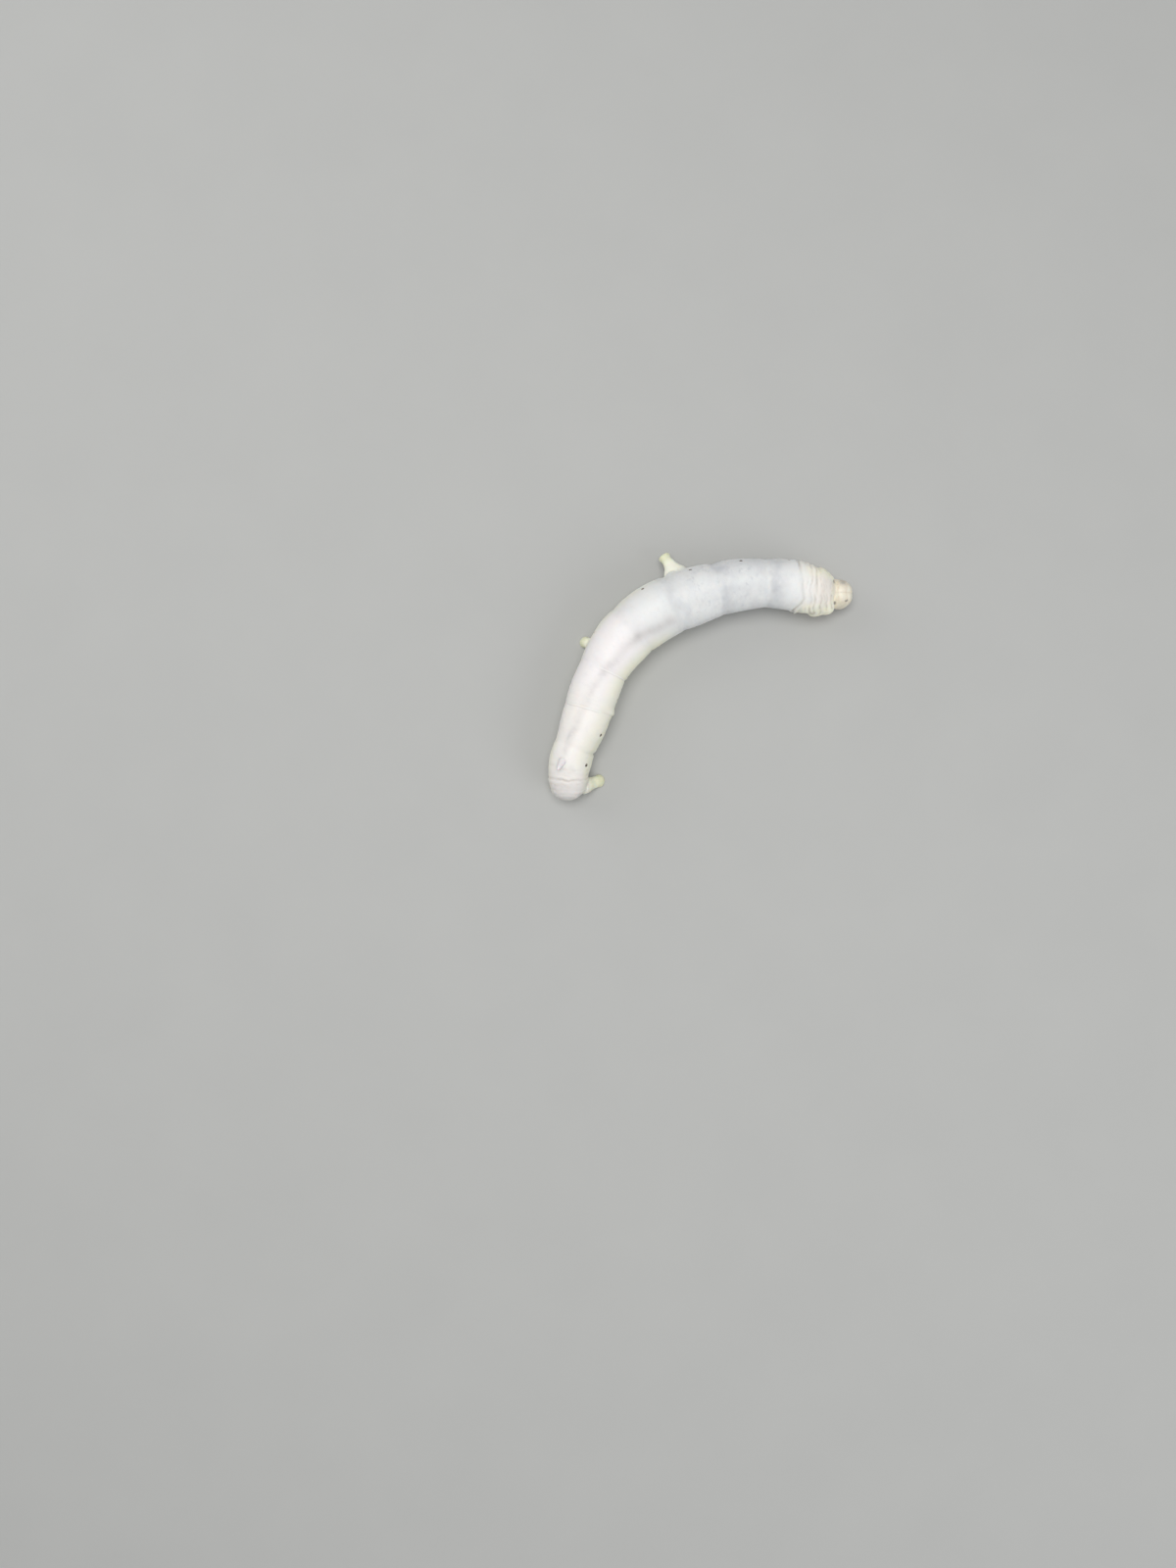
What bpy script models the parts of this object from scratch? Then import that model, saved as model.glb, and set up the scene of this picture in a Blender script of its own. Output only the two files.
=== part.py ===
"""A full-grown silkworm, the larva of the silk moth, at rest with its body bent to the right.

The animal faces +X and its back is up. Its flat soles, claws and claspers stand on the floor at z = 0.
Every part of the body is placed by its length from the front of the head along one middle line.
Left and right are the animal's own. Lengths in the tables are in millimetres, angles in degrees.
"""
import math

import bmesh
import bpy
import numpy as np
from mathutils import Matrix, Vector

MM = 0.001
CUT = 0.3                       # the gap left between two lengths of the body
LIMB_GAP = 0.2                  # the gap between the body and a limb or the horn
HEAD_GAP = 0.06                 # the gap between the head capsule and what sits on it
SIDES = 26                      # flats round a body segment
CENTRE_X, CENTRE_Y = -25.7006, -14.1771   # from the front of the head to the middle of the bounding box

# One row per length of the body, front to back. Each row ends with what the body is like at its rear edge:
# name, length, turn of the middle line, roll of the left side upward, height of the middle line, half width,
# half height.
START = dict(heading=188.4, roll=0.0, lift=3.0, wide=1.6, tall=1.6)
LENGTHS = (
    ("head", 2.85, -10.0, 0.0, 4.00, 2.65, 2.5),
    ("thorax_1", 2.0, -5.4, 6.0, 4.95, 3.4, 3.45),
    ("thorax_2", 1.75, -4.1, 10.0, 5.40, 4.08, 4.05),
    ("thorax_3", 1.9, -1.9, 14.0, 5.65, 4.17, 4.15),
    ("abdomen_1", 6.6, 13.9, 26.4, 5.86, 4.02, 4.12),
    ("abdomen_2", 8.1, 13.25, 30.0, 5.93, 4.4, 4.31),
    ("abdomen_3", 7.8, 8.4, 29.6, 6.10, 4.85, 4.6),
    ("abdomen_4", 8.3, 19.75, 24.0, 6.10, 4.75, 4.6),
    ("abdomen_5", 9.0, 23.8, 6.0, 5.90, 4.2, 4.35),
    ("abdomen_6", 6.95, 7.2, -8.0, 5.70, 4.05, 4.2),
    ("abdomen_7", 6.3, -6.8, -17.0, 5.30, 3.42, 3.9),
    ("abdomen_8", 4.95, 21.3, -20.0, 4.50, 3.35, 3.4),
    ("abdomen_9", 1.95, 3.5, -20.0, 4.05, 3.05, 3.0),
    ("abdomen_10", 2.4, 8.4, -20.0, 3.40, 2.2, 1.9),
)
BULGE = 0.035                   # how far a segment swells between its folds, as a share of its radius
SQUARE = 2.25                   # a body section is a little fuller than an ellipse, whose exponent is 2
TAIL_ROUND = 2.0                # length over which the tail end rounds off

# The head capsule: where its middle is, its half sizes, how far it bows down, how much narrower it is at the
# mouth and how much flatter its face is than a ball.
HEAD = dict(along=2.1, across=2.56, length=2.38, height=2.5, bow=34.0, lift=3.5, taper=0.22, blunt=0.06)
STEMMATA = dict(across=62.0, down=24.0, radius=0.55, sunk=0.25)
ANTENNA = dict(across=46.0, down=44.0, length=1.05, root=0.33, tip=0.25, sunk=0.1)
MOUTH = dict(down=56.0, length=1.2, root=(0.95, 0.62), tip=(0.65, 0.42), sunk=0.35)

# Thoracic legs: the segment and the share of its length where the hip is, the hip's angle from the back,
# and how far the claw stands to the side of the middle line and ahead of the hip.
LEGS = (
    ("thorax_1", 0.55, 142.0, 2.05, 1.15),
    ("thorax_2", 0.55, 142.0, 2.75, 0.85),
    ("thorax_3", 0.60, 142.0, 3.05, 0.45),
)
# Along a leg: share of the way from hip to claw, bend outward and forward, half sizes along and across.
LEG_JOINTS = (
    (0.00, 0.00, 0.00, 0.70, 0.84),
    (0.30, 0.25, 0.12, 0.62, 0.74),
    (0.55, 0.50, 0.25, 0.52, 0.58),
    (0.82, 0.30, 0.15, 0.42, 0.42),
    (1.00, 0.00, 0.00, 0.30, 0.30),
)

# Prolegs: segment, side, share of the segment's length, angle of the root from the back, how far the sole
# stands to the side and to the rear, the sole's height, and how broad the root is. Only one proleg is held
# off the floor.
PROLEG_ROOT = (1.45, 1.3)       # half length and half width of the root
PROLEG_SOLE = (1.0, 0.88)
SOLE_DEPTH = 0.5                # height of the upright part just above a sole
PROLEGS = (
    ("abdomen_3", "left", 0.65, 139.0, 8.6, 1.15, 3.0, 1.42),
    ("abdomen_3", "right", 0.60, 132.0, 2.00, 0.0, 0.0, 1.0),
    ("abdomen_4", "left", 0.60, 160.0, 3.40, 0.3, 0.0, 1.1),
    ("abdomen_4", "right", 0.60, 130.0, 2.15, 0.0, 0.0, 1.0),
    ("abdomen_5", "left", 0.60, 148.0, 5.3, 0.2, 0.0, 1.15),
    ("abdomen_5", "right", 0.60, 137.0, 2.35, 0.0, 0.0, 1.0),
    ("abdomen_6", "left", 0.58, 143.0, 2.70, 0.0, 0.0, 1.0),
    ("abdomen_6", "right", 0.58, 145.0, 2.70, 0.0, 0.0, 1.0),
)
CLASPERS = (
    ("abdomen_10", "left", 0.12, 128.0, 2.35, -0.3, 0.0, 1.0),
    ("abdomen_10", "right", 0.12, 130.0, 5.3, -1.5, 0.0, 1.0),
)
CLASPER_ROOT, CLASPER_SOLE = (1.5, 1.35), (1.1, 0.95)
HORN = dict(segment="abdomen_8", share=0.45, length=2.3, root=0.8, tip=0.27, lean=26.0)

COLOURS = {
    "head": (0.72, 0.60, 0.44), "thorax": (0.85, 0.80, 0.70), "abdomen": (0.83, 0.85, 0.86),
    "leg": (0.70, 0.55, 0.36), "proleg": (0.84, 0.86, 0.70), "dark": (0.05, 0.04, 0.035),
    "mouth": (0.38, 0.26, 0.16),
}


# ---------------------------------------------------------------- the middle line and the body round it

def smooth(knots, values, at):
    """A smooth curve through the knots that doesn't overshoot them."""
    knots, values = np.asarray(knots, float), np.asarray(values, float)
    slopes = np.diff(values) / np.diff(knots)
    inner = np.where(slopes[:-1] * slopes[1:] > 0,
                     2 * slopes[:-1] * slopes[1:] / (slopes[:-1] + slopes[1:] + 1e-12), 0.0)
    tangents = np.concatenate([[slopes[0]], inner, [slopes[-1]]])
    at = np.clip(at, knots[0], knots[-1])
    i = np.clip(np.searchsorted(knots, at) - 1, 0, len(slopes) - 1)
    span = knots[i + 1] - knots[i]
    t = (at - knots[i]) / span
    return ((1 + 2 * t) * (1 - t) ** 2 * values[i] + t * (1 - t) ** 2 * span * tangents[i]
            + t * t * (3 - 2 * t) * values[i + 1] + t * t * (t - 1) * span * tangents[i + 1])


EDGES = np.concatenate([[0.0], np.cumsum([row[1] for row in LENGTHS])])
TOTAL = float(EDGES[-1])
HEADINGS = START["heading"] + np.concatenate([[0.0], np.cumsum([row[2] for row in LENGTHS])])
ROLLS = [START["roll"]] + [row[3] for row in LENGTHS]
LIFTS = [START["lift"]] + [row[4] for row in LENGTHS]
WIDES = [START["wide"]] + [row[5] for row in LENGTHS]
TALLS = [START["tall"]] + [row[6] for row in LENGTHS]

FINE = np.linspace(0.0, TOTAL, 1400)
TURNED = np.radians(np.interp(FINE, EDGES, HEADINGS))
STRIDE = FINE[1] - FINE[0]
LINE_X = np.concatenate([[0.0], np.cumsum(np.cos(TURNED[:-1] + np.diff(TURNED) / 2) * STRIDE)])
LINE_Y = np.concatenate([[0.0], np.cumsum(np.sin(TURNED[:-1] + np.diff(TURNED) / 2) * STRIDE)])
LINE_Z = smooth(EDGES, LIFTS, FINE)
# Rings stand upright at the front, and lean with the middle line from the middle of the body to the tail.
SLOPES = np.gradient(LINE_Z, FINE) * np.clip((FINE - 10.0) / 20.0, 0.0, 1.0)


def edges_of(name):
    """Where a length of the body starts and ends on the middle line."""
    i = [row[0] for row in LENGTHS].index(name)
    return float(EDGES[i]), float(EDGES[i + 1])


def place(name, share):
    start, end = edges_of(name)
    return start + share * (end - start)


def middle(s):
    """The point of the middle line at length s."""
    return Vector([float(np.interp(s, FINE, line)) for line in (LINE_X, LINE_Y, LINE_Z)])


def axes(s):
    """Tailward, left and up directions of the body at length s, rolled with it."""
    turned, slope = float(np.interp(s, FINE, TURNED)), float(np.interp(s, FINE, SLOPES))
    back = Vector((math.cos(turned), math.sin(turned), slope)).normalized()
    left = Vector((math.sin(turned), -math.cos(turned), 0.0))
    up = left.cross(back)
    roll = math.radians(float(smooth(EDGES, ROLLS, s)))
    return back, left * math.cos(roll) + up * math.sin(roll), up * math.cos(roll) - left * math.sin(roll)


def swell(s):
    """The share by which the body stands out between two folds."""
    i = min(max(int(np.searchsorted(EDGES, s)) - 1, 0), len(LENGTHS) - 1)
    t = (s - EDGES[i]) / (EDGES[i + 1] - EDGES[i])
    return 1.0 + BULGE * (0.5 - abs(2 * t - 1) ** 3)


def skin(s, around, out=0.0):
    """The point of the body's surface at length s, so many degrees round from the back toward the left."""
    back, left, up = axes(s)
    a = math.radians(around)
    wide, tall = float(smooth(EDGES, WIDES, s)), float(smooth(EDGES, TALLS, s))
    sine, cosine = math.sin(a), math.cos(a)
    fill = (abs(sine) ** SQUARE + abs(cosine) ** SQUARE) ** (-1 / SQUARE)
    grown = swell(s) * fill
    to_end = max(TOTAL - s, 0.0)
    if to_end < TAIL_ROUND:
        grown *= math.sqrt(max(1 - (1 - to_end / TAIL_ROUND) ** 2, 0.04))
    return middle(s) + left * (sine * (wide * grown + out)) + up * (cosine * (tall * grown + out))


# ---------------------------------------------------------------- making solids

def add(name, bm, colour, collection):
    """One closed solid in metres, with its normals outward and its own material."""
    bmesh.ops.recalc_face_normals(bm, faces=bm.faces)
    mesh = bpy.data.meshes.new(name)
    bmesh.ops.transform(bm, matrix=Matrix.Translation(
        Vector((-CENTRE_X, -CENTRE_Y, 0.0)) * MM) @ Matrix.Scale(MM, 4), verts=bm.verts)
    bm.to_mesh(mesh)
    bm.free()
    obj = bpy.data.objects.new(name, mesh)
    collection.objects.link(obj)
    material = bpy.data.materials.new(name)
    material.use_nodes = True
    shader = material.node_tree.nodes["Principled BSDF"]
    shader.inputs["Base Color"].default_value = (*COLOURS[colour], 1.0)
    shader.inputs["Roughness"].default_value = 0.5
    mesh.materials.append(material)
    return obj


def loft(rings):
    """A closed solid through rings of points, with a flat face at each end."""
    bm = bmesh.new()
    rows = [[bm.verts.new(point) for point in ring] for ring in rings]
    count = len(rows[0])
    for row, following in zip(rows, rows[1:]):
        for k in range(count):
            bm.faces.new((row[k], row[(k + 1) % count], following[(k + 1) % count], following[k]))
    bm.faces.new(rows[0])
    bm.faces.new(rows[-1])
    return bm


def body_rings(start, end, count, out=0.0, sides=SIDES):
    """Rings of the body's surface between two lengths."""
    return [[skin(s, 360.0 * k / sides, out) for k in range(sides)] for s in np.linspace(start, end, count)]


def tube(spots, sides):
    """Rings along a limb. Each spot is a centre, a direction for the ring's face and two half sizes."""
    rings = []
    for centre, facing, across, half_long, half_wide in spots:
        facing = facing.normalized()
        side = (across - facing * across.dot(facing)).normalized()
        other = facing.cross(side)
        rings.append([centre + side * (half_long * math.cos(2 * math.pi * k / sides))
                      + other * (half_wide * math.sin(2 * math.pi * k / sides)) for k in range(sides)])
    return rings


def cone(root, away, across, length, root_size, tip_size):
    """Spots for a straight tapering tube."""
    spots = []
    for t in (0.0, 0.35, 0.7, 1.0):
        half_long, half_wide = (a + (b - a) * t for a, b in zip(root_size, tip_size))
        spots.append((root + away * (length * t), away, across, half_long, half_wide))
    return spots


def cut_by(obj, cutter):
    """Takes the cutter's room out of a solid."""
    modifier = obj.modifiers.new("clearance", "BOOLEAN")
    modifier.operation = "DIFFERENCE"
    modifier.solver = "EXACT"
    modifier.object = cutter


# ---------------------------------------------------------------- the parts of the animal

def make_body(collection):
    """Thorax and abdomen, one solid for each of the segments."""
    for row in LENGTHS[1:]:
        start, end = edges_of(row[0])
        last = row[0] == LENGTHS[-1][0]
        count = max(4, round((end - start) / 1.3) + 1)
        rings = body_rings(start + CUT / 2, end - (0.02 if last else CUT / 2), 7 if last else count)
        add(row[0], loft(rings), row[0].split("_")[0], collection)


def head_frame():
    """The middle of the head capsule and its directions: face, left and crown, bowed down."""
    back, left, up = axes(HEAD["along"])
    bow = math.radians(HEAD["bow"])
    centre = middle(HEAD["along"])
    centre.z = HEAD["lift"]
    face = -back * math.cos(bow) - up * math.sin(bow)
    return centre, face, left, left.cross(face) * -1.0


def head_point(across, down, out=0.0):
    """A point of the head capsule: degrees to the left and degrees down from straight ahead."""
    centre, face, left, crown = head_frame()
    a, d = math.radians(across), math.radians(down)
    ray = Vector((math.cos(a) * math.cos(d), math.sin(a) * math.cos(d), -math.sin(d)))
    return (centre + face * (ray.x * (HEAD["length"] + out)) + left * (ray.y * (HEAD["across"] + out))
            + crown * (ray.z * (HEAD["height"] + out)))


def head_shape(out):
    """The head capsule as a ball drawn out to its three half sizes, cut off square at the neck."""
    centre, face, left, crown = head_frame()
    bm = bmesh.new()
    bmesh.ops.create_uvsphere(bm, u_segments=20, v_segments=12, radius=1.0)
    for vertex in bm.verts:
        x, y, z = vertex.co
        narrow = 1.0 - HEAD["taper"] * max(-z, 0.0)
        blunt = 1.0 - HEAD["blunt"] * max(x, 0.0) ** 4
        vertex.co = (centre + face * (x * blunt * (HEAD["length"] + out))
                     + left * (y * narrow * (HEAD["across"] + out)) + crown * (z * (HEAD["height"] + out)))
    neck = edges_of("thorax_1")[0] - CUT / 2
    back = axes(neck)[0]
    bmesh.ops.bisect_plane(bm, geom=bm.verts[:] + bm.edges[:] + bm.faces[:], plane_co=middle(neck),
                           plane_no=back, clear_outer=True)
    bmesh.ops.holes_fill(bm, edges=[e for e in bm.edges if e.is_boundary])
    return bm


def make_head(collection, cutters):
    """Head capsule with its eye clusters, feelers and mouthparts."""
    add("head", head_shape(0.0), "head", collection)
    room = add("head_room", head_shape(HEAD_GAP), "head", cutters)
    centre, face, left, crown = head_frame()
    for side, sign in (("left", 1.0), ("right", -1.0)):
        bm = bmesh.new()
        bmesh.ops.create_uvsphere(bm, u_segments=12, v_segments=8, radius=STEMMATA["radius"])
        at = head_point(sign * STEMMATA["across"], STEMMATA["down"], -STEMMATA["sunk"])
        bmesh.ops.translate(bm, verts=bm.verts, vec=at)
        cut_by(add("stemmata_" + side, bm, "dark", collection), room)
        root = head_point(sign * ANTENNA["across"], ANTENNA["down"], -ANTENNA["sunk"])
        away = ((root - centre).normalized() + face * 0.5).normalized()
        spots = cone(root, away, left, ANTENNA["length"], (ANTENNA["root"],) * 2, (ANTENNA["tip"],) * 2)
        cut_by(add("antenna_" + side, loft(tube(spots, 8)), "leg", collection), room)
    mouth = head_point(0.0, MOUTH["down"], -MOUTH["sunk"])
    spots = cone(mouth, (mouth - centre).normalized(), left, MOUTH["length"], MOUTH["root"], MOUTH["tip"])
    cut_by(add("mouthparts", loft(tube(spots, 12)), "mouth", collection), room)


def level_axes(s):
    """The tailward and left directions at length s, laid level."""
    back, left, up = axes(s)
    return [Vector((way.x, way.y, 0.0)).normalized() for way in (back, left)]


def make_legs(collection, room):
    """Six jointed legs under the thorax, each one standing on its claw."""
    for segment, share, root_angle, claw_out, claw_ahead in LEGS:
        s = place(segment, share)
        back, left = level_axes(s)
        for side, sign in (("left", 1.0), ("right", -1.0)):
            hip = skin(s, sign * root_angle, -0.5)
            claw = middle(s) + left * (sign * claw_out) - back * claw_ahead
            claw.z = 0.0
            points = [hip.lerp(claw, along) + left * (sign * out) - back * ahead
                      for along, out, ahead, _, _ in LEG_JOINTS]
            facings = [hip - points[2], hip - points[2], hip - points[3], points[2] - claw, Vector((0, 0, 1))]
            spots = [(point, facing, back, joint[3], joint[4])
                     for point, facing, joint in zip(points, facings, LEG_JOINTS)]
            name = "leg_" + segment[-1] + "_" + side
            cut_by(add(name, loft(tube(spots, 10)), "leg", collection), room)


def stump(root, sole, along, root_size, sole_size, facing):
    """A fleshy proleg: broad where it leaves the body, waisted, with a flat round sole."""
    heading = sole - root
    low = sole - facing * SOLE_DEPTH
    spots = [(root, heading, along, root_size[0], root_size[1])]
    for share, narrowing in ((0.4, 0.25), (0.7, 0.75)):
        half_long, half_wide = (a + (b - a) * narrowing for a, b in zip(root_size, sole_size))
        spots.append((root.lerp(low, share), heading, along, half_long, half_wide))
    spots += [(low, facing, along, sole_size[0] * 1.06, sole_size[1] * 1.06),
              (sole, facing, along, sole_size[0], sole_size[1])]
    return loft(tube(spots, 14))


def make_proleg(name, row, sizes, sunk, collection, room):
    """One proleg or clasper, placed by its row of the table."""
    segment, side, share, root_angle, sole_out, sole_back, height, broad = row
    sign = 1.0 if side == "left" else -1.0
    s = place(segment, share)
    back, left = level_axes(s)
    sole = middle(s) + left * (sign * sole_out) + back * sole_back
    sole.z = height
    root = skin(s, sign * root_angle, -sunk)
    facing = Vector((0.0, 0.0, -1.0)) if height == 0.0 else (sole - root).normalized()
    root_size = [size * broad for size in sizes[0]]
    cut_by(add(name, stump(root, sole, back, root_size, sizes[1], facing), "proleg", collection), room)


def make_prolegs(collection, room):
    """Eight prolegs under the abdomen and the two claspers of the tail."""
    for row in PROLEGS:
        make_proleg("proleg_" + row[0][-1] + "_" + row[1], row, (PROLEG_ROOT, PROLEG_SOLE), 1.0,
                    collection, room)
    for row in CLASPERS:
        make_proleg("clasper_" + row[1], row, (CLASPER_ROOT, CLASPER_SOLE), 0.6, collection, room)


def make_horn(collection, room):
    """The short soft horn on the back of the eighth abdominal segment, leaning to the rear."""
    s = place(HORN["segment"], HORN["share"])
    back, left, up = axes(s)
    lean = math.radians(HORN["lean"])
    away = up * math.cos(lean) + back * math.sin(lean)
    root = skin(s, 0.0, -0.5)
    spots = cone(root, away, left, HORN["length"], (HORN["root"],) * 2, (HORN["tip"],) * 2)
    cut_by(add("caudal_horn", loft(tube(spots, 10)), "abdomen", collection), room)


def main():
    for obj in list(bpy.data.objects):
        bpy.data.objects.remove(obj)
    parts = bpy.data.collections.new("silkworm")
    cutters = bpy.data.collections.new("cutters")
    for collection in (parts, cutters):
        bpy.context.scene.collection.children.link(collection)
    make_body(parts)
    make_head(parts, cutters)
    inside = body_rings(EDGES[1] - CUT, TOTAL - 0.02, 52, LIMB_GAP)
    room = add("body_room", loft(inside), "abdomen", cutters)
    make_legs(parts, room)
    make_prolegs(parts, room)
    make_horn(parts, room)
    for obj in cutters.objects:
        obj.hide_render = True
        obj.display_type = "WIRE"


main()
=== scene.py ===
"""A full-grown silkworm, life-size, at rest on a pale floor and seen from above.

The skin is one surface over thorax, abdomen, prolegs and claspers. The head, eyes, feelers, mouthparts, legs,
spiracles, horn, sole hooks and hairs are pieces of their own. Every place on the animal is given by its length
along the middle line and its angle from the back toward the animal's left, in millimetres and degrees.
"""
import math

import bmesh
import bpy
import numpy as np
from mathutils import Matrix, Vector
from mathutils.bvhtree import BVHTree


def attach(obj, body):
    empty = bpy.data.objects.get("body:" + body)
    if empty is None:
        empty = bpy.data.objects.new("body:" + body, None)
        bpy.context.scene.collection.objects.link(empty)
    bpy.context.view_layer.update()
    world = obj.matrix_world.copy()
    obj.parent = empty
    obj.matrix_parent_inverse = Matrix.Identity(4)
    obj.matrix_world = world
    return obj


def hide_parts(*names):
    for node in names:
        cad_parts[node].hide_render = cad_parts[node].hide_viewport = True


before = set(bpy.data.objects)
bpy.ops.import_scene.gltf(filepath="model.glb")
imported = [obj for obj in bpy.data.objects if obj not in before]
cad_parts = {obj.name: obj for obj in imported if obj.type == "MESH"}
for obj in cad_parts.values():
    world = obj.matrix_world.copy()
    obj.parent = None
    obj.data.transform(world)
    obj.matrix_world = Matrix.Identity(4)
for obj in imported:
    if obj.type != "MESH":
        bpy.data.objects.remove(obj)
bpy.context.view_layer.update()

MM = 0.001
SIDES = (("left", 1.0), ("right", -1.0))
CENTRE = np.array([-25.7006, -14.1771, 0.0])    # front of the head to the middle of the box

# Body lengths, front to back, each with what the body is like at its rear edge: name, length, turn of the
# middle line, roll of the left side upward, height of the middle line, half width, half height.
START = dict(heading=188.4, roll=0.0, lift=3.0, wide=1.6, tall=1.6)
LENGTHS = (
    ("head", 2.85, -10.0, 0.0, 4.00, 2.65, 2.5),
    ("thorax_1", 2.0, -5.4, 6.0, 4.95, 3.4, 3.45),
    ("thorax_2", 1.75, -4.1, 10.0, 5.40, 4.08, 4.05),
    ("thorax_3", 1.9, -1.9, 14.0, 5.65, 4.17, 4.15),
    ("abdomen_1", 6.6, 13.9, 26.4, 5.86, 4.02, 4.12),
    ("abdomen_2", 8.1, 13.25, 30.0, 5.93, 4.4, 4.31),
    ("abdomen_3", 7.8, 8.4, 29.6, 6.10, 4.85, 4.6),
    ("abdomen_4", 8.3, 19.75, 24.0, 6.10, 4.75, 4.6),
    ("abdomen_5", 9.0, 23.8, 6.0, 5.90, 4.2, 4.35),
    ("abdomen_6", 6.95, 7.2, -8.0, 5.70, 4.05, 4.2),
    ("abdomen_7", 6.3, -6.8, -17.0, 5.30, 3.42, 3.9),
    ("abdomen_8", 4.95, 21.3, -20.0, 4.50, 3.35, 3.4),
    ("abdomen_9", 1.95, 3.5, -20.0, 4.05, 3.05, 3.0),
    ("abdomen_10", 2.4, 8.4, -20.0, 3.40, 2.2, 1.9),
)
BULGE = 0.035                   # how much fuller each length is in its middle
SQUARE = 2.25                   # 2 is an elliptic section, more is a squarer one
TAIL_ROUND = 2.0                # the last stretch, over which the tail closes

# Half sizes along and across the body, at the root and at the sole.
PROLEG_ROOT, PROLEG_SOLE = (1.45, 1.3), (1.0, 0.88)
CLASPER_ROOT, CLASPER_SOLE = (1.5, 1.35), (1.1, 0.95)
# Segment, side, share of its length, angle of the root, sole's place to the side, to the rear and up, breadth.
PROLEGS = (
    ("abdomen_3", "left", 0.65, 139.0, 8.6, 1.45, 3.0, 1.42),
    ("abdomen_3", "right", 0.60, 132.0, 2.00, 0.0, 0.0, 1.0),
    ("abdomen_4", "left", 0.60, 160.0, 3.40, 0.3, 0.0, 1.1),
    ("abdomen_4", "right", 0.60, 130.0, 2.15, 0.0, 0.0, 1.0),
    ("abdomen_5", "left", 0.60, 148.0, 5.30, 0.2, 0.0, 1.15),
    ("abdomen_5", "right", 0.60, 137.0, 2.35, 0.0, 0.0, 1.0),
    ("abdomen_6", "left", 0.58, 143.0, 2.70, 0.0, 0.0, 1.0),
    ("abdomen_6", "right", 0.58, 145.0, 2.70, 0.0, 0.0, 1.0),
    ("abdomen_10", "left", 0.12, 128.0, 2.35, -0.3, 0.0, 1.0),
    ("abdomen_10", "right", 0.12, 130.0, 5.30, -1.5, 0.0, 1.0),
)


# ---------------------------------------------------------------- the middle line and the body round it

def smooth(knots, values, at):
    """A smooth curve through the knots that doesn't overshoot them."""
    knots, values = np.asarray(knots, float), np.asarray(values, float)
    slopes = np.diff(values) / np.diff(knots)
    inner = np.where(slopes[:-1] * slopes[1:] > 0,
                     2 * slopes[:-1] * slopes[1:] / (slopes[:-1] + slopes[1:] + 1e-12), 0.0)
    tangents = np.concatenate([[slopes[0]], inner, [slopes[-1]]])
    at = np.clip(at, knots[0], knots[-1])
    i = np.clip(np.searchsorted(knots, at) - 1, 0, len(slopes) - 1)
    span = knots[i + 1] - knots[i]
    t = (at - knots[i]) / span
    return ((1 + 2 * t) * (1 - t) ** 2 * values[i] + t * (1 - t) ** 2 * span * tangents[i]
            + t * t * (3 - 2 * t) * values[i + 1] + t * t * (t - 1) * span * tangents[i + 1])


EDGES = np.concatenate([[0.0], np.cumsum([row[1] for row in LENGTHS])])
TOTAL = float(EDGES[-1])
HEADINGS = START["heading"] + np.concatenate([[0.0], np.cumsum([row[2] for row in LENGTHS])])
ROLLS = [START["roll"]] + [row[3] for row in LENGTHS]
LIFTS = [START["lift"]] + [row[4] for row in LENGTHS]
WIDES = [START["wide"]] + [row[5] for row in LENGTHS]
TALLS = [START["tall"]] + [row[6] for row in LENGTHS]
FINE = np.linspace(0.0, TOTAL, 1400)
TURNED = np.radians(np.interp(FINE, EDGES, HEADINGS))
STRIDE = FINE[1] - FINE[0]
LINE = np.stack([
    np.concatenate([[0.0], np.cumsum(np.cos(TURNED[:-1] + np.diff(TURNED) / 2) * STRIDE)]),
    np.concatenate([[0.0], np.cumsum(np.sin(TURNED[:-1] + np.diff(TURNED) / 2) * STRIDE)]),
    smooth(EDGES, LIFTS, FINE)], axis=1) - CENTRE
# Rings stand upright at the front, and lean with the middle line from the middle of the body to the tail.
SLOPES = np.gradient(LINE[:, 2], FINE) * np.clip((FINE - 10.0) / 20.0, 0.0, 1.0)


def edges_of(name):
    i = [row[0] for row in LENGTHS].index(name)
    return float(EDGES[i]), float(EDGES[i + 1])


def place(name, share):
    start, end = edges_of(name)
    return start + share * (end - start)


def middle(s):
    """Points of the middle line at lengths s, one row each."""
    s = np.atleast_1d(s)
    return np.stack([np.interp(s, FINE, LINE[:, k]) for k in range(3)], axis=1)


def unit(rows):
    return rows / np.linalg.norm(rows, axis=-1, keepdims=True)


def axes(s):
    """Tailward, left and up directions at lengths s, rolled with the body."""
    s = np.atleast_1d(s)
    turned, slope = np.interp(s, FINE, TURNED), np.interp(s, FINE, SLOPES)
    back = unit(np.stack([np.cos(turned), np.sin(turned), slope], axis=1))
    left = np.stack([np.sin(turned), -np.cos(turned), np.zeros(len(s))], axis=1)
    up = np.cross(left, back)
    roll = np.radians(smooth(EDGES, ROLLS, s))[:, None]
    return back, left * np.cos(roll) + up * np.sin(roll), up * np.cos(roll) - left * np.sin(roll)


def swell(s):
    i = np.clip(np.searchsorted(EDGES, s) - 1, 0, len(LENGTHS) - 1)
    t = (s - EDGES[i]) / (EDGES[i + 1] - EDGES[i])
    return 1.0 + BULGE * (0.5 - np.abs(2 * t - 1) ** 3)


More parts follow.
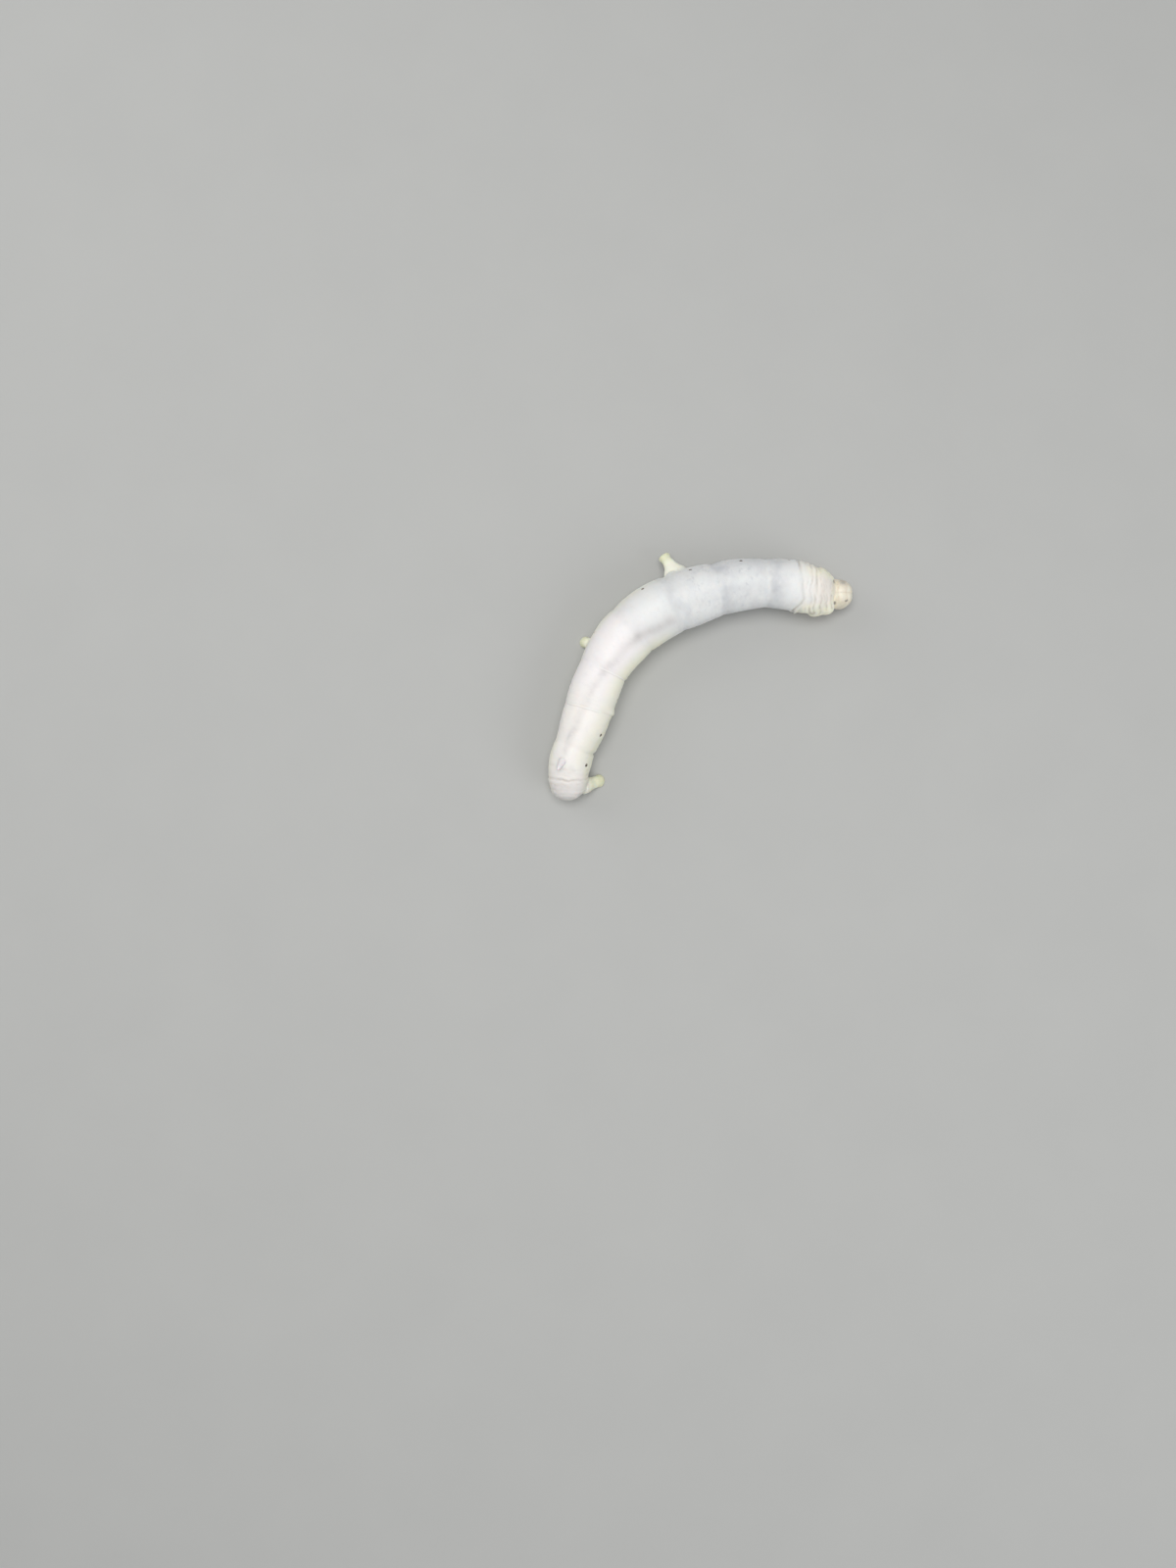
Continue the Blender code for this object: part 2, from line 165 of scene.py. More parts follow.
def skin_at(s, around, out=0.0):
    """Points of the plain body surface at lengths s and angles around, one row each."""
    s, around = np.broadcast_arrays(np.atleast_1d(s).astype(float), np.atleast_1d(around).astype(float))
    back, left, up = axes(s)
    a = np.radians(around)
    wide, tall = smooth(EDGES, WIDES, s), smooth(EDGES, TALLS, s)
    grown = swell(s) * (np.abs(np.sin(a)) ** SQUARE + np.abs(np.cos(a)) ** SQUARE) ** (-1 / SQUARE)
    to_end = np.clip((TOTAL - s) / TAIL_ROUND, 0.0, 1.0)
    grown = grown * np.sqrt(np.maximum(1 - (1 - to_end) ** 2, 0.0004))
    return (middle(s) + left * (np.sin(a) * (wide * grown + out))[:, None]
            + up * (np.cos(a) * (tall * grown + out))[:, None])


# ---------------------------------------------------------------- small tools

LATTICE = 32                    # steps after which the noise repeats
ABOVE_ZERO = 1000.0             # added to all points, so that none is negative


def noise(points, seed, octaves=3):
    """Smooth value noise between -1 and 1 at rows of 3 numbers, one lattice step per unit."""
    total, size, gain = np.zeros(len(points)), 0.0, 1.0
    for octave in range(octaves):
        rng = np.random.default_rng(seed * 31 + octave)
        table = rng.uniform(-1.0, 1.0, (LATTICE, LATTICE, LATTICE))
        p = points * 2.0 ** octave + ABOVE_ZERO
        low = np.floor(p).astype(int)
        f = p - low
        f = f * f * (3 - 2 * f)
        value = np.zeros(len(points))
        for corner in range(8):
            bits = [(corner >> k) & 1 for k in range(3)]
            index = [(low[:, k] + bits[k]) % LATTICE for k in range(3)]
            weight = np.prod([f[:, k] if bits[k] else 1 - f[:, k] for k in range(3)], axis=0)
            value += table[index[0], index[1], index[2]] * weight
        total += value * gain
        size += gain
        gain *= 0.5
    return total / size


def bell(x, width):
    return np.exp(-(x / width) ** 2)


def step(low, high, x):
    t = np.clip((x - low) / (high - low), 0.0, 1.0)
    return t * t * (3 - 2 * t)


def new_object(name, points, faces):
    """A mesh object from points in millimetres."""
    mesh = bpy.data.meshes.new(name)
    mesh.from_pydata((np.asarray(points) * MM).tolist(), [], faces)
    mesh.update()
    obj = bpy.data.objects.new(name, mesh)
    bpy.context.scene.collection.objects.link(obj)
    return obj


def loft(rings):
    """Points and faces of a closed tube through equal rings."""
    count, sides = len(rings), len(rings[0])
    points = np.concatenate(rings)
    faces = []
    for i in range(count - 1):
        for k in range(sides):
            n = (k + 1) % sides
            faces.append((i * sides + k, i * sides + n, (i + 1) * sides + n, (i + 1) * sides + k))
    faces.append(tuple(range(sides))[::-1])
    faces.append(tuple(range((count - 1) * sides, count * sides)))
    return points, faces


def select_only(objs):
    bpy.ops.object.select_all(action="DESELECT")
    for obj in objs:
        obj.select_set(True)
    bpy.context.view_layer.objects.active = objs[0]


def named(name):
    """The active object, under this name."""
    obj = bpy.context.view_layer.objects.active
    obj.name = obj.data.name = name
    return obj


def join(objs, name):
    """One object from several."""
    select_only(objs)
    if len(objs) > 1:
        bpy.ops.object.join()
    return named(name)


def face_outward(obj):
    select_only([obj])
    bpy.ops.object.mode_set(mode="EDIT")
    bpy.ops.mesh.select_all(action="SELECT")
    bpy.ops.mesh.normals_make_consistent(inside=False)
    bpy.ops.object.mode_set(mode="OBJECT")


def coords(obj):
    """The object's points in millimetres."""
    flat = np.empty(len(obj.data.vertices) * 3)
    obj.data.vertices.foreach_get("co", flat)
    return flat.reshape(-1, 3) / MM


def set_coords(obj, points):
    obj.data.vertices.foreach_set("co", (points * MM).ravel())
    obj.data.update()


def normals(obj):
    flat = np.empty(len(obj.data.vertices) * 3)
    obj.data.vertices.foreach_get("normal", flat)
    return flat.reshape(-1, 3)


def attribute(obj, name, values):
    """Keeps one number or one vector for each point of the mesh."""
    values = np.asarray(values, float)
    kind, field = ("FLOAT_VECTOR", "vector") if values.ndim == 2 else ("FLOAT", "value")
    made = obj.data.attributes.new(name, kind, "POINT")
    made.data.foreach_set(field, values.ravel())


def shade(obj):
    select_only([obj])
    bpy.ops.object.shade_smooth()


# ---------------------------------------------------------------- prolegs and claspers as plain shapes

def proleg_frames():
    """Root, sole, tailward direction, sole normal and sizes of each proleg and clasper."""
    frames = []
    for segment, side, share, angle, out, rear, height, broad in PROLEGS:
        sign = 1.0 if side == "left" else -1.0
        clasper = segment == "abdomen_10"
        s = place(segment, share)
        back, left, _ = (way[0] for way in axes(s))
        back, left = (unit(np.array([way[0], way[1], 0.0])) for way in (back, left))
        sole = middle(s)[0] + left * (sign * out) + back * rear
        sole[2] = height
        root = skin_at(s, sign * angle, -0.6 if clasper else -1.0)[0]
        down = np.array([0.0, 0.0, -1.0]) if height == 0.0 else unit(sole - root)
        sizes = (CLASPER_ROOT, CLASPER_SOLE) if clasper else (PROLEG_ROOT, PROLEG_SOLE)
        frames.append(dict(root=root, sole=sole, along=back, down=down, outward=left * sign, s=s,
                           root_size=np.array(sizes[0]) * broad, sole_size=np.array(sizes[1])))
    return frames


FEET = proleg_frames()
# Share of the way down, breadth between root (0) and sole (1), and how much fuller or slimmer there.
PROLEG_PROFILE = (
    (0.0, 0.0, 1.0), (0.15, 0.12, 1.0), (0.3, 0.3, 0.98), (0.42, 0.5, 0.95), (0.52, 0.7, 0.92),
    (0.62, 0.85, 0.92), (0.72, 0.95, 0.93), (0.8, 1.0, 0.95), (0.87, 1.0, 1.01), (0.94, 1.0, 1.08),
    (0.98, 1.0, 1.06), (1.0, 1.0, 0.98),
)


def ring(centre, facing, along, half_long, half_wide, sides):
    """A ring of points round a limb."""
    facing = unit(np.asarray(facing, float))
    side = unit(along - facing * np.dot(along, facing))
    other = np.cross(facing, side)
    a = 2 * np.pi * np.arange(sides) / sides
    return centre + np.outer(np.cos(a), side) * half_long + np.outer(np.sin(a), other) * half_wide


def proleg_shape(foot, sides=28):
    low = foot["sole"] - foot["down"] * 0.5
    length = np.linalg.norm(foot["sole"] - foot["root"])
    rings = []
    for share, narrow, full in PROLEG_PROFILE:
        size = (foot["root_size"] + (foot["sole_size"] - foot["root_size"]) * narrow) * full
        turn = step(0.6, 0.95, share)
        straight = foot["root"] + (foot["sole"] - foot["root"]) * share
        upright = foot["sole"] - foot["down"] * (length * (1 - share) * 0.9)
        centre = straight * (1 - turn) + upright * turn
        if foot["sole"][2] > 0.0:
            # The raised one flares to the rear where it leaves the flank.
            flare = bell(share - 0.36, 0.2)
            centre, size = centre + foot["along"] * (0.35 * flare), size * (1 + 0.16 * flare, 1.0)
        facing = unit(foot["sole"] - foot["root"]) * (1 - turn) + foot["down"] * turn
        rings.append(ring(centre, facing, foot["along"], size[0], size[1], sides))
    return loft(rings)


# ---------------------------------------------------------------- the skin

VOXEL = 0.176                   # mesh of the fused skin
CHUNK = 20000                   # points placed at a time
SKIN_SIDES, SKIN_STRIDE = 96, 0.22      # of the rings that the body is drawn with before it is fused
TAIL_RINGS = 16
FRONT = float(EDGES[1])
RIM = FRONT + 0.55              # where the collar's skin starts round the head
NECK = 0.75                     # how far the neck's skin runs on inside the head capsule
# Depth inside the collar and narrowing of the rings that lead to the neck.
NECK_FORM = ((NECK, 0.42), (NECK * 0.7, 0.5), (0.25, 0.62), (0.0, 0.8), (-0.06, 0.93))
THROAT, THROAT_HEIGHT = FRONT + 0.8, 2.45
THROAT_LONG, THROAT_WIDE, THROAT_TALL = 1.35, 1.85, 1.1     # half sizes
THROAT_FORM = ((-1.0, 0.2), (-0.9, 0.5), (-0.6, 0.8), (0.0, 1.0), (0.6, 0.8), (0.9, 0.5), (1.0, 0.2))
# Share of the way from hip to claw and half breadth of the swelling that a leg grows from.
HIP_FORM = ((-0.25, 0.7), (-0.1, 1.0), (0.05, 1.06), (0.18, 0.98), (0.27, 0.78), (0.3, 0.5))

# Thoracic legs: segment, share, root angle, claw's place to the side and ahead of the hip.
LEGS = (
    ("thorax_1", 0.55, 142.0, 2.05, 1.15),
    ("thorax_2", 0.55, 142.0, 2.75, 0.85),
    ("thorax_3", 0.60, 142.0, 3.05, 0.45),
)


def leg_frames():
    """Hip, claw and directions of each thoracic leg."""
    legs = []
    for segment, share, angle, out, ahead in LEGS:
        s = place(segment, share)
        back, left = (unit(np.array([way[0][0], way[0][1], 0.0])) for way in axes(s)[:2])
        for side, sign in SIDES:
            claw = middle(s)[0] + left * (sign * out) - back * ahead
            claw[2] = 0.0
            legs.append(dict(node="leg_" + segment[-1] + "_" + side, hip=skin_at(s, sign * angle, -0.5)[0],
                             claw=claw, back=back, outward=left * sign))
    return legs


HIPS = leg_frames()


def leg_point(leg, along, out, ahead):
    return leg["hip"] + (leg["claw"] - leg["hip"]) * along + leg["outward"] * out - leg["back"] * ahead


def hip_rings(leg):
    """The soft swelling a leg grows from."""
    axis = leg["claw"] - leg["hip"]
    return [ring(leg_point(leg, along, 0.1, 0.05), axis, leg["back"], size * 0.86, size, 24)
            for along, size in HIP_FORM]


def collar_ring(s, sides):
    """A ring of the body. Near the rim its top is drawn back and its shoulders reach forward over the head."""
    around = (np.arange(sides) * 360.0 / sides + 180.0) % 360.0 - 180.0
    near = step(RIM + 1.3, RIM, s)
    drawn = 0.25 * bell(around, 38.0) - 0.10 * bell(around - 55.0, 26.0) - 0.20 * bell(around + 60.0, 28.0)
    return skin_at(s + drawn * near, around, -0.06 * step(RIM + 0.9, RIM, s))


def neck_rings(sides):
    """The collar of the first segment, turned in toward the neck."""
    spot, core, back = collar_ring(RIM, sides), middle(RIM)[0], axes(RIM)[0][0]
    return [core + (spot - core) * narrow - back * deep for deep, narrow in NECK_FORM]


def throat_rings():
    """The soft skin under the neck, between the first segment and the back of the head."""
    back, left, _ = (way[0] for way in axes(THROAT))
    centre = middle(THROAT)[0]
    centre[2] = THROAT_HEIGHT
    return [ring(centre + back * (THROAT_LONG * t), back, left, THROAT_WIDE * full, THROAT_TALL * full, 28)
            for t, full in THROAT_FORM]


# Dark flecks that straddle the collar's edge: place and angle of the middle, and reach.
FLECKS = ((3.42, 34.0, 0.46), (3.10, -38.0, 0.42))


def flecks_at(points):
    """How dark each point is with the collar's flecks, as they lie seen from above."""
    dark = np.zeros(len(points))
    ragged = 1.0 + 0.4 * noise(points / 0.25, 28)
    for where, angle, reach in FLECKS:
        away = np.linalg.norm(points[:, :2] - skin_at(where, angle)[0][:2], axis=1) * ragged
        top = points[away < reach, 2].max(initial=0.0)
        dark = np.maximum(dark, step(reach, reach * 0.3, away) * step(top - 0.9, top - 0.4, points[:, 2]))
    return dark


def plain_skin():
    """Body, prolegs, claspers, hips and throat fused into one closed surface."""
    lengths = np.concatenate([np.arange(RIM, TOTAL - TAIL_ROUND, SKIN_STRIDE),
                              TOTAL - TAIL_ROUND * (1 - np.sin(np.linspace(0.0, np.pi / 2, TAIL_RINGS)))])
    rings = [collar_ring(s, SKIN_SIDES) for s in lengths]
    parts = [new_object("body", *loft(neck_rings(SKIN_SIDES) + rings))]
    parts += [new_object("foot", *proleg_shape(foot)) for foot in FEET]
    parts += [new_object("hip", *loft(hip_rings(leg))) for leg in HIPS]
    parts.append(new_object("throat", *loft(throat_rings())))
    for part in parts:
        face_outward(part)
    body = join(parts, "skin")
    remesh = body.modifiers.new("fuse", "REMESH")
    remesh.mode, remesh.voxel_size = "VOXEL", VOXEL * MM
    relax = body.modifiers.new("relax", "SMOOTH")
    relax.factor, relax.iterations = 0.5, 7
    for modifier in (remesh, relax):
        bpy.ops.object.modifier_apply(modifier=modifier.name)
    return body


def body_place(points):
    """Length along the body, angle from the back, and height over the plain surface, of any points."""
    knots = np.arange(FRONT - 1.0, TOTAL + 0.01, 0.2)
    line = middle(knots)
    s = np.empty(len(points))
    for i in range(0, len(points), CHUNK):
        away = ((points[i:i + CHUNK, None, :] - line[None]) ** 2).sum(axis=2)
        s[i:i + CHUNK] = knots[away.argmin(axis=1)]
    for _ in range(3):
        s = np.clip(s + ((points - middle(s)) * axes(s)[0]).sum(axis=1) * 0.8, FRONT - 1.0, TOTAL)
    _, left, up = axes(s)
    away = points - middle(s)
    wide, tall = smooth(EDGES, WIDES, s), smooth(EDGES, TALLS, s)
    across, high = (away * left).sum(axis=1) / wide, (away * up).sum(axis=1) / tall
    a = np.arctan2(across, high)
    fill = (np.abs(np.sin(a)) ** SQUARE + np.abs(np.cos(a)) ** SQUARE) ** (-1 / SQUARE)
    to_end = np.clip((TOTAL - s) / TAIL_ROUND, 0.0, 1.0)
    plain = swell(s) * fill * np.sqrt(np.maximum(1 - (1 - to_end) ** 2, 0.04))
    return s, np.degrees(a), (np.hypot(across, high) - plain) * (wide + tall) / 2


def feet_place(points):
    """How surely each point is on a proleg, and its share of the way from root to sole."""
    on, down = np.zeros(len(points)), np.zeros(len(points))
    for foot in FEET:
        axis = foot["sole"] - foot["root"]
        t = ((points - foot["root"]) @ axis) / (axis @ axis)
        t01 = np.clip(t, 0.0, 1.0)
        size = foot["root_size"].mean() * (1 - t01) + foot["sole_size"].mean() * t01
        d = np.linalg.norm(points - foot["root"] - np.outer(t01, axis), axis=1)
        near = step(1.75, 1.25, d / size) * step(0.05, 0.3, t)
        down = np.where(near > on, t, down)
        on = np.maximum(on, near)
    return on, down


# Creases round the thorax and tail: place, wander, depth, breadth, middle angle and angular reach.
CREASES = (
    (4.20, 0.12, 0.090, 0.15, 0.0, 300.0), (5.05, 0.22, 0.070, 0.15, -25.0, 110.0),
    (5.60, 0.24, 0.065, 0.15, 40.0, 80.0), (6.00, 0.24, 0.080, 0.16, -20.0, 90.0),
    (6.65, 0.07, 0.150, 0.17, 27.0, 40.0), (6.95, 0.24, 0.090, 0.15, -45.0, 70.0),
    (7.60, 0.24, 0.110, 0.17, 0.0, 300.0), (8.30, 0.20, 0.080, 0.14, 5.0, 90.0),
    (8.95, 0.12, 0.165, 0.24, 0.0, 300.0), (9.75, 0.30, 0.040, 0.20, 0.0, 90.0),
    (64.9, 0.20, 0.035, 0.18, -15.0, 110.0), (66.8, 0.14, 0.130, 0.19, 0.0, 300.0),
    (67.7, 0.20, 0.035, 0.18, 10.0, 90.0), (68.6, 0.20, 0.020, 0.18, 0.0, 300.0),
)
BOWED = 8.95                    # the crease behind the thorax bows to the rear on both flanks
TAIL_CREASE = 66.8
BOW = ((-180.0, -120.0, -65.0, -50.0, -38.0, -22.0, 0.0, 15.0, 35.0, 80.0, 130.0, 180.0),
       (0.5, 0.9, 1.43, 0.92, 0.36, -0.12, 0.0, 0.16, 0.37, 0.56, 0.5, 0.5))
# How strong two of the creases are round the body: angles and strengths.
PULL = {
    BOWED: ((-100.0, -70.0, -52.0, -40.0, -24.0, 0.0, 18.0, 30.0, 45.0, 62.0, 100.0),
            (1.0, 1.1, 1.30, 0.80, 0.45, 0.60, 0.50, 0.20, 0.40, 0.8, 1.0)),
    TAIL_CREASE: ((-110.0, -70.0, -40.0, -15.0, 5.0, 20.0, 45.0, 90.0),
                  (0.6, 0.5, 1.1, 1.4, 1.3, 0.6, 0.35, 0.6)),
}
# Rear edges of the abdominal segments: how deep the joint dips on the back, how broad that dip is, how far the
# thin rim of the segment stands up, how grey its drawn skin is, the angles between which the rim shows, and how
# far behind the edge the grey lies.
JOINTS = {
    "abdomen_1": (0.05, 0.45, 0.00, 1.25, 0, 0, -0.2), "abdomen_2": (0.05, 0.50, 0.00, 1.20, 0, 0, 0.4),
    "abdomen_3": (0.05, 0.50, 0.00, 0.70, 0, 0, 1.1), "abdomen_4": (0.04, 0.40, 0.00, 0.28, 0, 0, 0.9),
    "abdomen_5": (0.035, 0.30, 0.09, 0.10, 28, -100, 0.0), "abdomen_6": (0.035, 0.30, 0.09, 0.05, 68, -48, 0.0),
    "abdomen_7": (0.05, 0.40, 0.00, 0.0, 0, 0, 0.0),
}
# Segment, share of its length and angle of each pair of breathing holes.
SPIRACLES = [("thorax_1", 0.62, 104.0)] + [
    ("abdomen_%d" % n, 0.42 if n == 4 else 0.47, angle)
    for n, angle in enumerate((94.0, 95.0, 95.0, 95.0, 99.0, 84.0, 77.0, 76.0), 1)]
# Swellings of the flanks: place, angle, length, breadth and height.
LOBES = (
    (5.45, -98.0, 1.15, 24.0, 0.60), (6.45, -74.0, 0.30, 9.0, -0.28), (7.25, -100.0, 0.40, 26.0, -0.22),
    (9.10, -101.0, 0.85, 22.0, 0.50), (4.9, 84.0, 0.75, 24.0, 0.14), (7.1, 84.0, 0.80, 30.0, -0.42),
    (3.70, -84.0, 0.80, 28.0, 0.55), (54.4, -88.0, 0.80, 24.0, 0.40), (29.8, 119.0, 0.70, 15.0, 0.25),
)
SMALL_RINGS = ((0.2, 0.012), (0.72, 0.022), (0.83, 0.026), (0.92, 0.022))   # share of a segment and depth
HORN_PLACE = place("abdomen_8", 0.45)
# Faint spots on the first segments: place, angle and size. The one at 6.5 is painted shade in the hollow low on
# the right flank.
SPOTS_AND_SHADE = ((3.95, 2.0, 0.10), (3.95, -14.0, 0.11), (6.5, -76.0, 0.28), (9.75, -70.0, 0.26))
# Angle of the heart line at places along the back, and how grey all the skin of the front half is at least.
HEART_LINE = (32.0, 36.0, 40.0, 46.0, 50.0, 55.0, 62.0), (-8.0, -7.0, 0.0, -3.0, 5.0, 4.0, 2.0)
LEAST_GREY = (13.5, 16.0, 22.0, 24.0, 31.0, 34.0), (0.0, 0.50, 0.45, 0.2, 0.2, 0.0)
# Dark patches on the heart line: place, length, angle, breadth and strength. The first is painted shade where
# the back folds at the joint of the fourth and fifth segments.
HEART_PATCHES = ((39.8, 0.7, 3.0, 8.0, 0.6), (60.2, 0.9, 8.0, 4.0, 0.5))


def round_gap(around, centre):
    return np.abs((around - centre + 180.0) % 360.0 - 180.0)


def flank_noise(s, around):
    """Two kinds of noise on the flanks: one along and round them, and one that runs only round a ring."""
    a = np.radians(around)
    flank = np.stack([4.0 * np.sin(a), 4.0 * np.cos(a)], axis=1)

    def at(length_scale, round_scale, seed, octaves=3):
        return noise(np.column_stack([s / length_scale, flank / round_scale]), seed, octaves)

    def wander(where, seed):
        return noise(np.column_stack([np.full(len(s), where * 0.37), flank / 1.5]), seed, 3)

    return at, wander


def crease_relief(s, around, wander):
    """Rise of the creases of thorax and tail, painted shade in each dip, and a painted highlight on the rim
    just ahead of it.
    """
    rise, fold, rim = np.zeros((3, len(s)))
    # On the thorax the folds run a little forward to the right.
    skew = 0.80 * np.sin(np.radians(around))
    for where, drift, deep, broad, centre, reach in CREASES:
        line = where + drift * 2.3 * wander(where, 11) + skew * step(11.0, 9.0, where)
        if where == BOWED:
            line += np.interp(around, *BOW)
        if where in PULL:
            strength = np.interp(around, *PULL[where]) * np.clip(0.85 + 0.9 * wander(where, 33), 0.2, 1.4)
        else:
            strength = np.clip(0.45 + 2.2 * wander(where + 31.0, 12), 0.30 if deep > 0.1 else 0.0, 1.35)
            strength = strength * step(reach, reach * 0.6, round_gap(around, centre))
        off = s - line
        dip = bell(off, broad) * strength
        banks = bell(off - broad * 1.9, broad * 1.3) + bell(off + broad * 1.9, broad * 1.3)
        rise += deep * (0.4 * strength * banks - dip)
        # Painted shade in the crease's dip, and a painted highlight on the rim just ahead of it.
        fold = np.maximum(fold, dip * min(1.0, deep / 0.11))
        rim = np.maximum(rim, strength * bell(off + broad * 2.0, broad * 1.1) * min(1.0, deep / 0.12))
    return rise, fold, rim


def joint_relief(s, around, wander):
    """Rise and painted fold shade of the abdomen's joints, the way to the nearest overlapping rim and how far
    it shows.
    """
    # The belly and the hollow of the bend are drawn together in deeper folds.
    belly, right = step(105.0, 150.0, np.abs(around)), step(20.0, 100.0, -around)
    gather = 0.15 * belly + 0.07 * right * step(33.0, 46.0, s)
    rise, fold, shown = np.zeros((3, len(s)))
    gap = np.full(len(s), 9.0)
    for name, (deep, broad, lip, _, first, last, _) in JOINTS.items():
        end = edges_of(name)[1]
        off = s - (end - (0.45 if lip else 0.0) + (0.10 if lip else 0.22) * wander(end, 13))
        away = np.abs(off)
        rise -= deep * bell(off, broad) + gather * (bell(off, 0.24) - 0.4 * bell(away - 0.55, 0.3))
        # Painted shade in these deeper folds.
        fold = np.maximum(fold, bell(off, 0.2) * np.clip(gather * 5, 0, 1))
        if lip:
            # A thin rim overlaps the next segment over part of the back.
            there = step(first, first - 30.0, around) * step(last, last + 25.0, around)
            there = there * (0.8 + 0.5 * wander(end, 14))
            rise += lip * 0.6 * (bell(off + 0.22, 0.28) - bell(off - 0.22, 0.24)) * there
            near = away < np.abs(gap)
            gap, shown = np.where(near, off, gap), np.where(near, there * step(1.6, 1.0, away), shown)
    return rise, fold, gap, np.clip(shown, 0, 1)


def relief(s, around):
    """How far the skin stands out or in, how much painted shade lies in its folds and painted highlight on a
    crease's rim, and the way to a rim.
    """
    at, wander = flank_noise(s, around)
    rise, fold, rim = crease_relief(s, around, wander)
    joint_rise, joint_fold_shade, gap, shown = joint_relief(s, around, wander)
    rise, fold = rise + joint_rise, np.maximum(fold, joint_fold_shade)
    side = np.abs(around)
    belly, right, left = step(105.0, 150.0, side), step(20.0, 100.0, -around), step(50.0, 100.0, around)
    # Small rings round each segment of the abdomen.
    i = np.clip(np.searchsorted(EDGES, s) - 1, 0, len(LENGTHS) - 1)
    span = EDGES[i + 1] - EDGES[i]
    share = (s - EDGES[i]) / span
    abdomen = step(9.5, 12.5, s) * step(67.0, 63.0, s)
    for where, deep in SMALL_RINGS:
        off = (share - where) * span + 0.25 * at(3.0, 1.8, 15)
        rise -= deep * 0.8 * (1 + 2.0 * belly + right + left) * abdomen * bell(off, 0.25)
    # Flank fold under the spiracles, broken at each joint.
    whole = (1 - np.abs(2 * share - 1) ** 5) * step(8.0, 11.0, s) * step(68.0, 65.0, s)
    low = side + 3.0 * at(2.0, 5.0, 16)
    rise += whole * (0.11 * bell(low - 119.0, 11.0) - 0.10 * bell(low - 106.0, 5.0)
                     - 0.08 * bell(low - 134.0, 6.0))
    for where, angle, long, broad, high in LOBES:
        rise += high * bell(s - where, long) * bell(round_gap(around, angle), broad)
    # Mound that the horn grows from, and dent along the heart line.
    rise += 0.20 * bell(np.hypot(s - HORN_PLACE, np.radians(around) * 3.7), 1.2)
    rise -= 0.035 * bell(around + 1.5 * at(2.5, 9.0, 17), 8.0) * step(20.0, 27.0, s) * step(66.0, 60.0, s)
    for name, where, angle in SPIRACLES:
        for sign in (1.0, -1.0):
            off = np.hypot(s - place(name, where), np.radians(round_gap(around, sign * angle)) * 4.2)
            rise += 0.05 * bell(off - 0.62, 0.25) - 0.13 * bell(off, 0.42)
    # Horseshoe fold that sets off the tail plate, with painted shade in it.
    plate, on_back = s - 69.05 - 1.0 * (around / 78.0) ** 2, step(100.0, 76.0, side)
    rise += on_back * (0.03 * bell(plate - 0.45, 0.3) - 0.05 * bell(plate, 0.17))
    fold = np.maximum(fold, 0.2 * on_back * bell(plate, 0.12))
    # Fine wrinkles, strongest on the thorax.
    front, tail = step(12.0, 8.0, s), step(62.5, 66.5, s)
    rough = 0.060 * front + 0.006 * tail + 0.016 * belly + 0.008
    wrinkle = at(0.60, 1.7, 18) * 0.55 + at(1.1, 2.4, 19) * 0.45
    rise += rough * wrinkle * 1.8 + (0.02 + 0.06 * front) * at(1.5, 1.6, 20) + 0.05 * at(5.0, 3.4, 21, 2)
    # Painted shade in the hollows of the fine wrinkles on thorax and tail.
    fold = np.maximum(fold, np.clip(-wrinkle - 0.12, 0, 1) * 1.6 * (front * 0.8 + tail * 0.6))
    return rise, np.clip(fold, 0, 1), np.clip(rim, 0, 1), gap, shown


def body_noise(along, a, spread, seed):
    """Noise that closes round the body, from steps along it, the angle in radians and steps across it."""
    return noise(np.column_stack([along, spread * np.sin(a), spread * np.cos(a)]), seed)


def most(*values):
    return np.maximum.reduce(values)


def drawn_grey(s, a):
    """The grey of skin drawn tight at the joints of the front half."""
    grey = np.interp(s, *LEAST_GREY)
    for name, (_, _, _, depth, _, _, behind) in JOINTS.items():
        end = edges_of(name)[1]
        off = s - end - behind - 0.7 * body_noise(s / 9.0 + end, a, 2.0, 25)
        grey = np.maximum(grey, depth * step(0.6, -0.5, off) * step(-3.9, -1.0, off))
    return grey * np.clip(0.85 + 0.75 * body_noise(s / 1.1, a, 3.2, 29), 0.1, 1.4)


def thin_skin(s, around):
    """Where pale green shows through: the right side, low flanks, the tail, and faintly the whole rear."""
    right = step(12.0, 52.0, -around) * step(31.0, 38.0, s) * step(68.0, 62.0, s)
    right = right * (1.0 - 0.4 * step(46.0, 54.0, s))
    return most(right, step(50.0, 84.0, -around) * step(24.0, 34.0, s),
                0.8 * step(65.0, 112.0, np.abs(around)) * step(24.0, 44.0, s),
                0.7 * step(69.0, 71.0, s), 0.7 * step(18.0, 50.0, around) * step(58.0, 63.0, s),
                0.22 * step(48.0, 56.0, s))


def pale_flanks_and_painted_light(s, around, a):
    """Pale yellow flanks of the thorax, brightened above their own colour as painted light on the steep flanks.
    """
    wan = step(20.0, 58.0, np.abs(around) + 14.0 * body_noise(s / 1.2, a, 3.0, 30))
    return wan * step(10.8, 8.2, s) * (1.0 - step(6.6, 8.0, s) * (0.35 + 0.35 * step(-10.0, 20.0, around)))


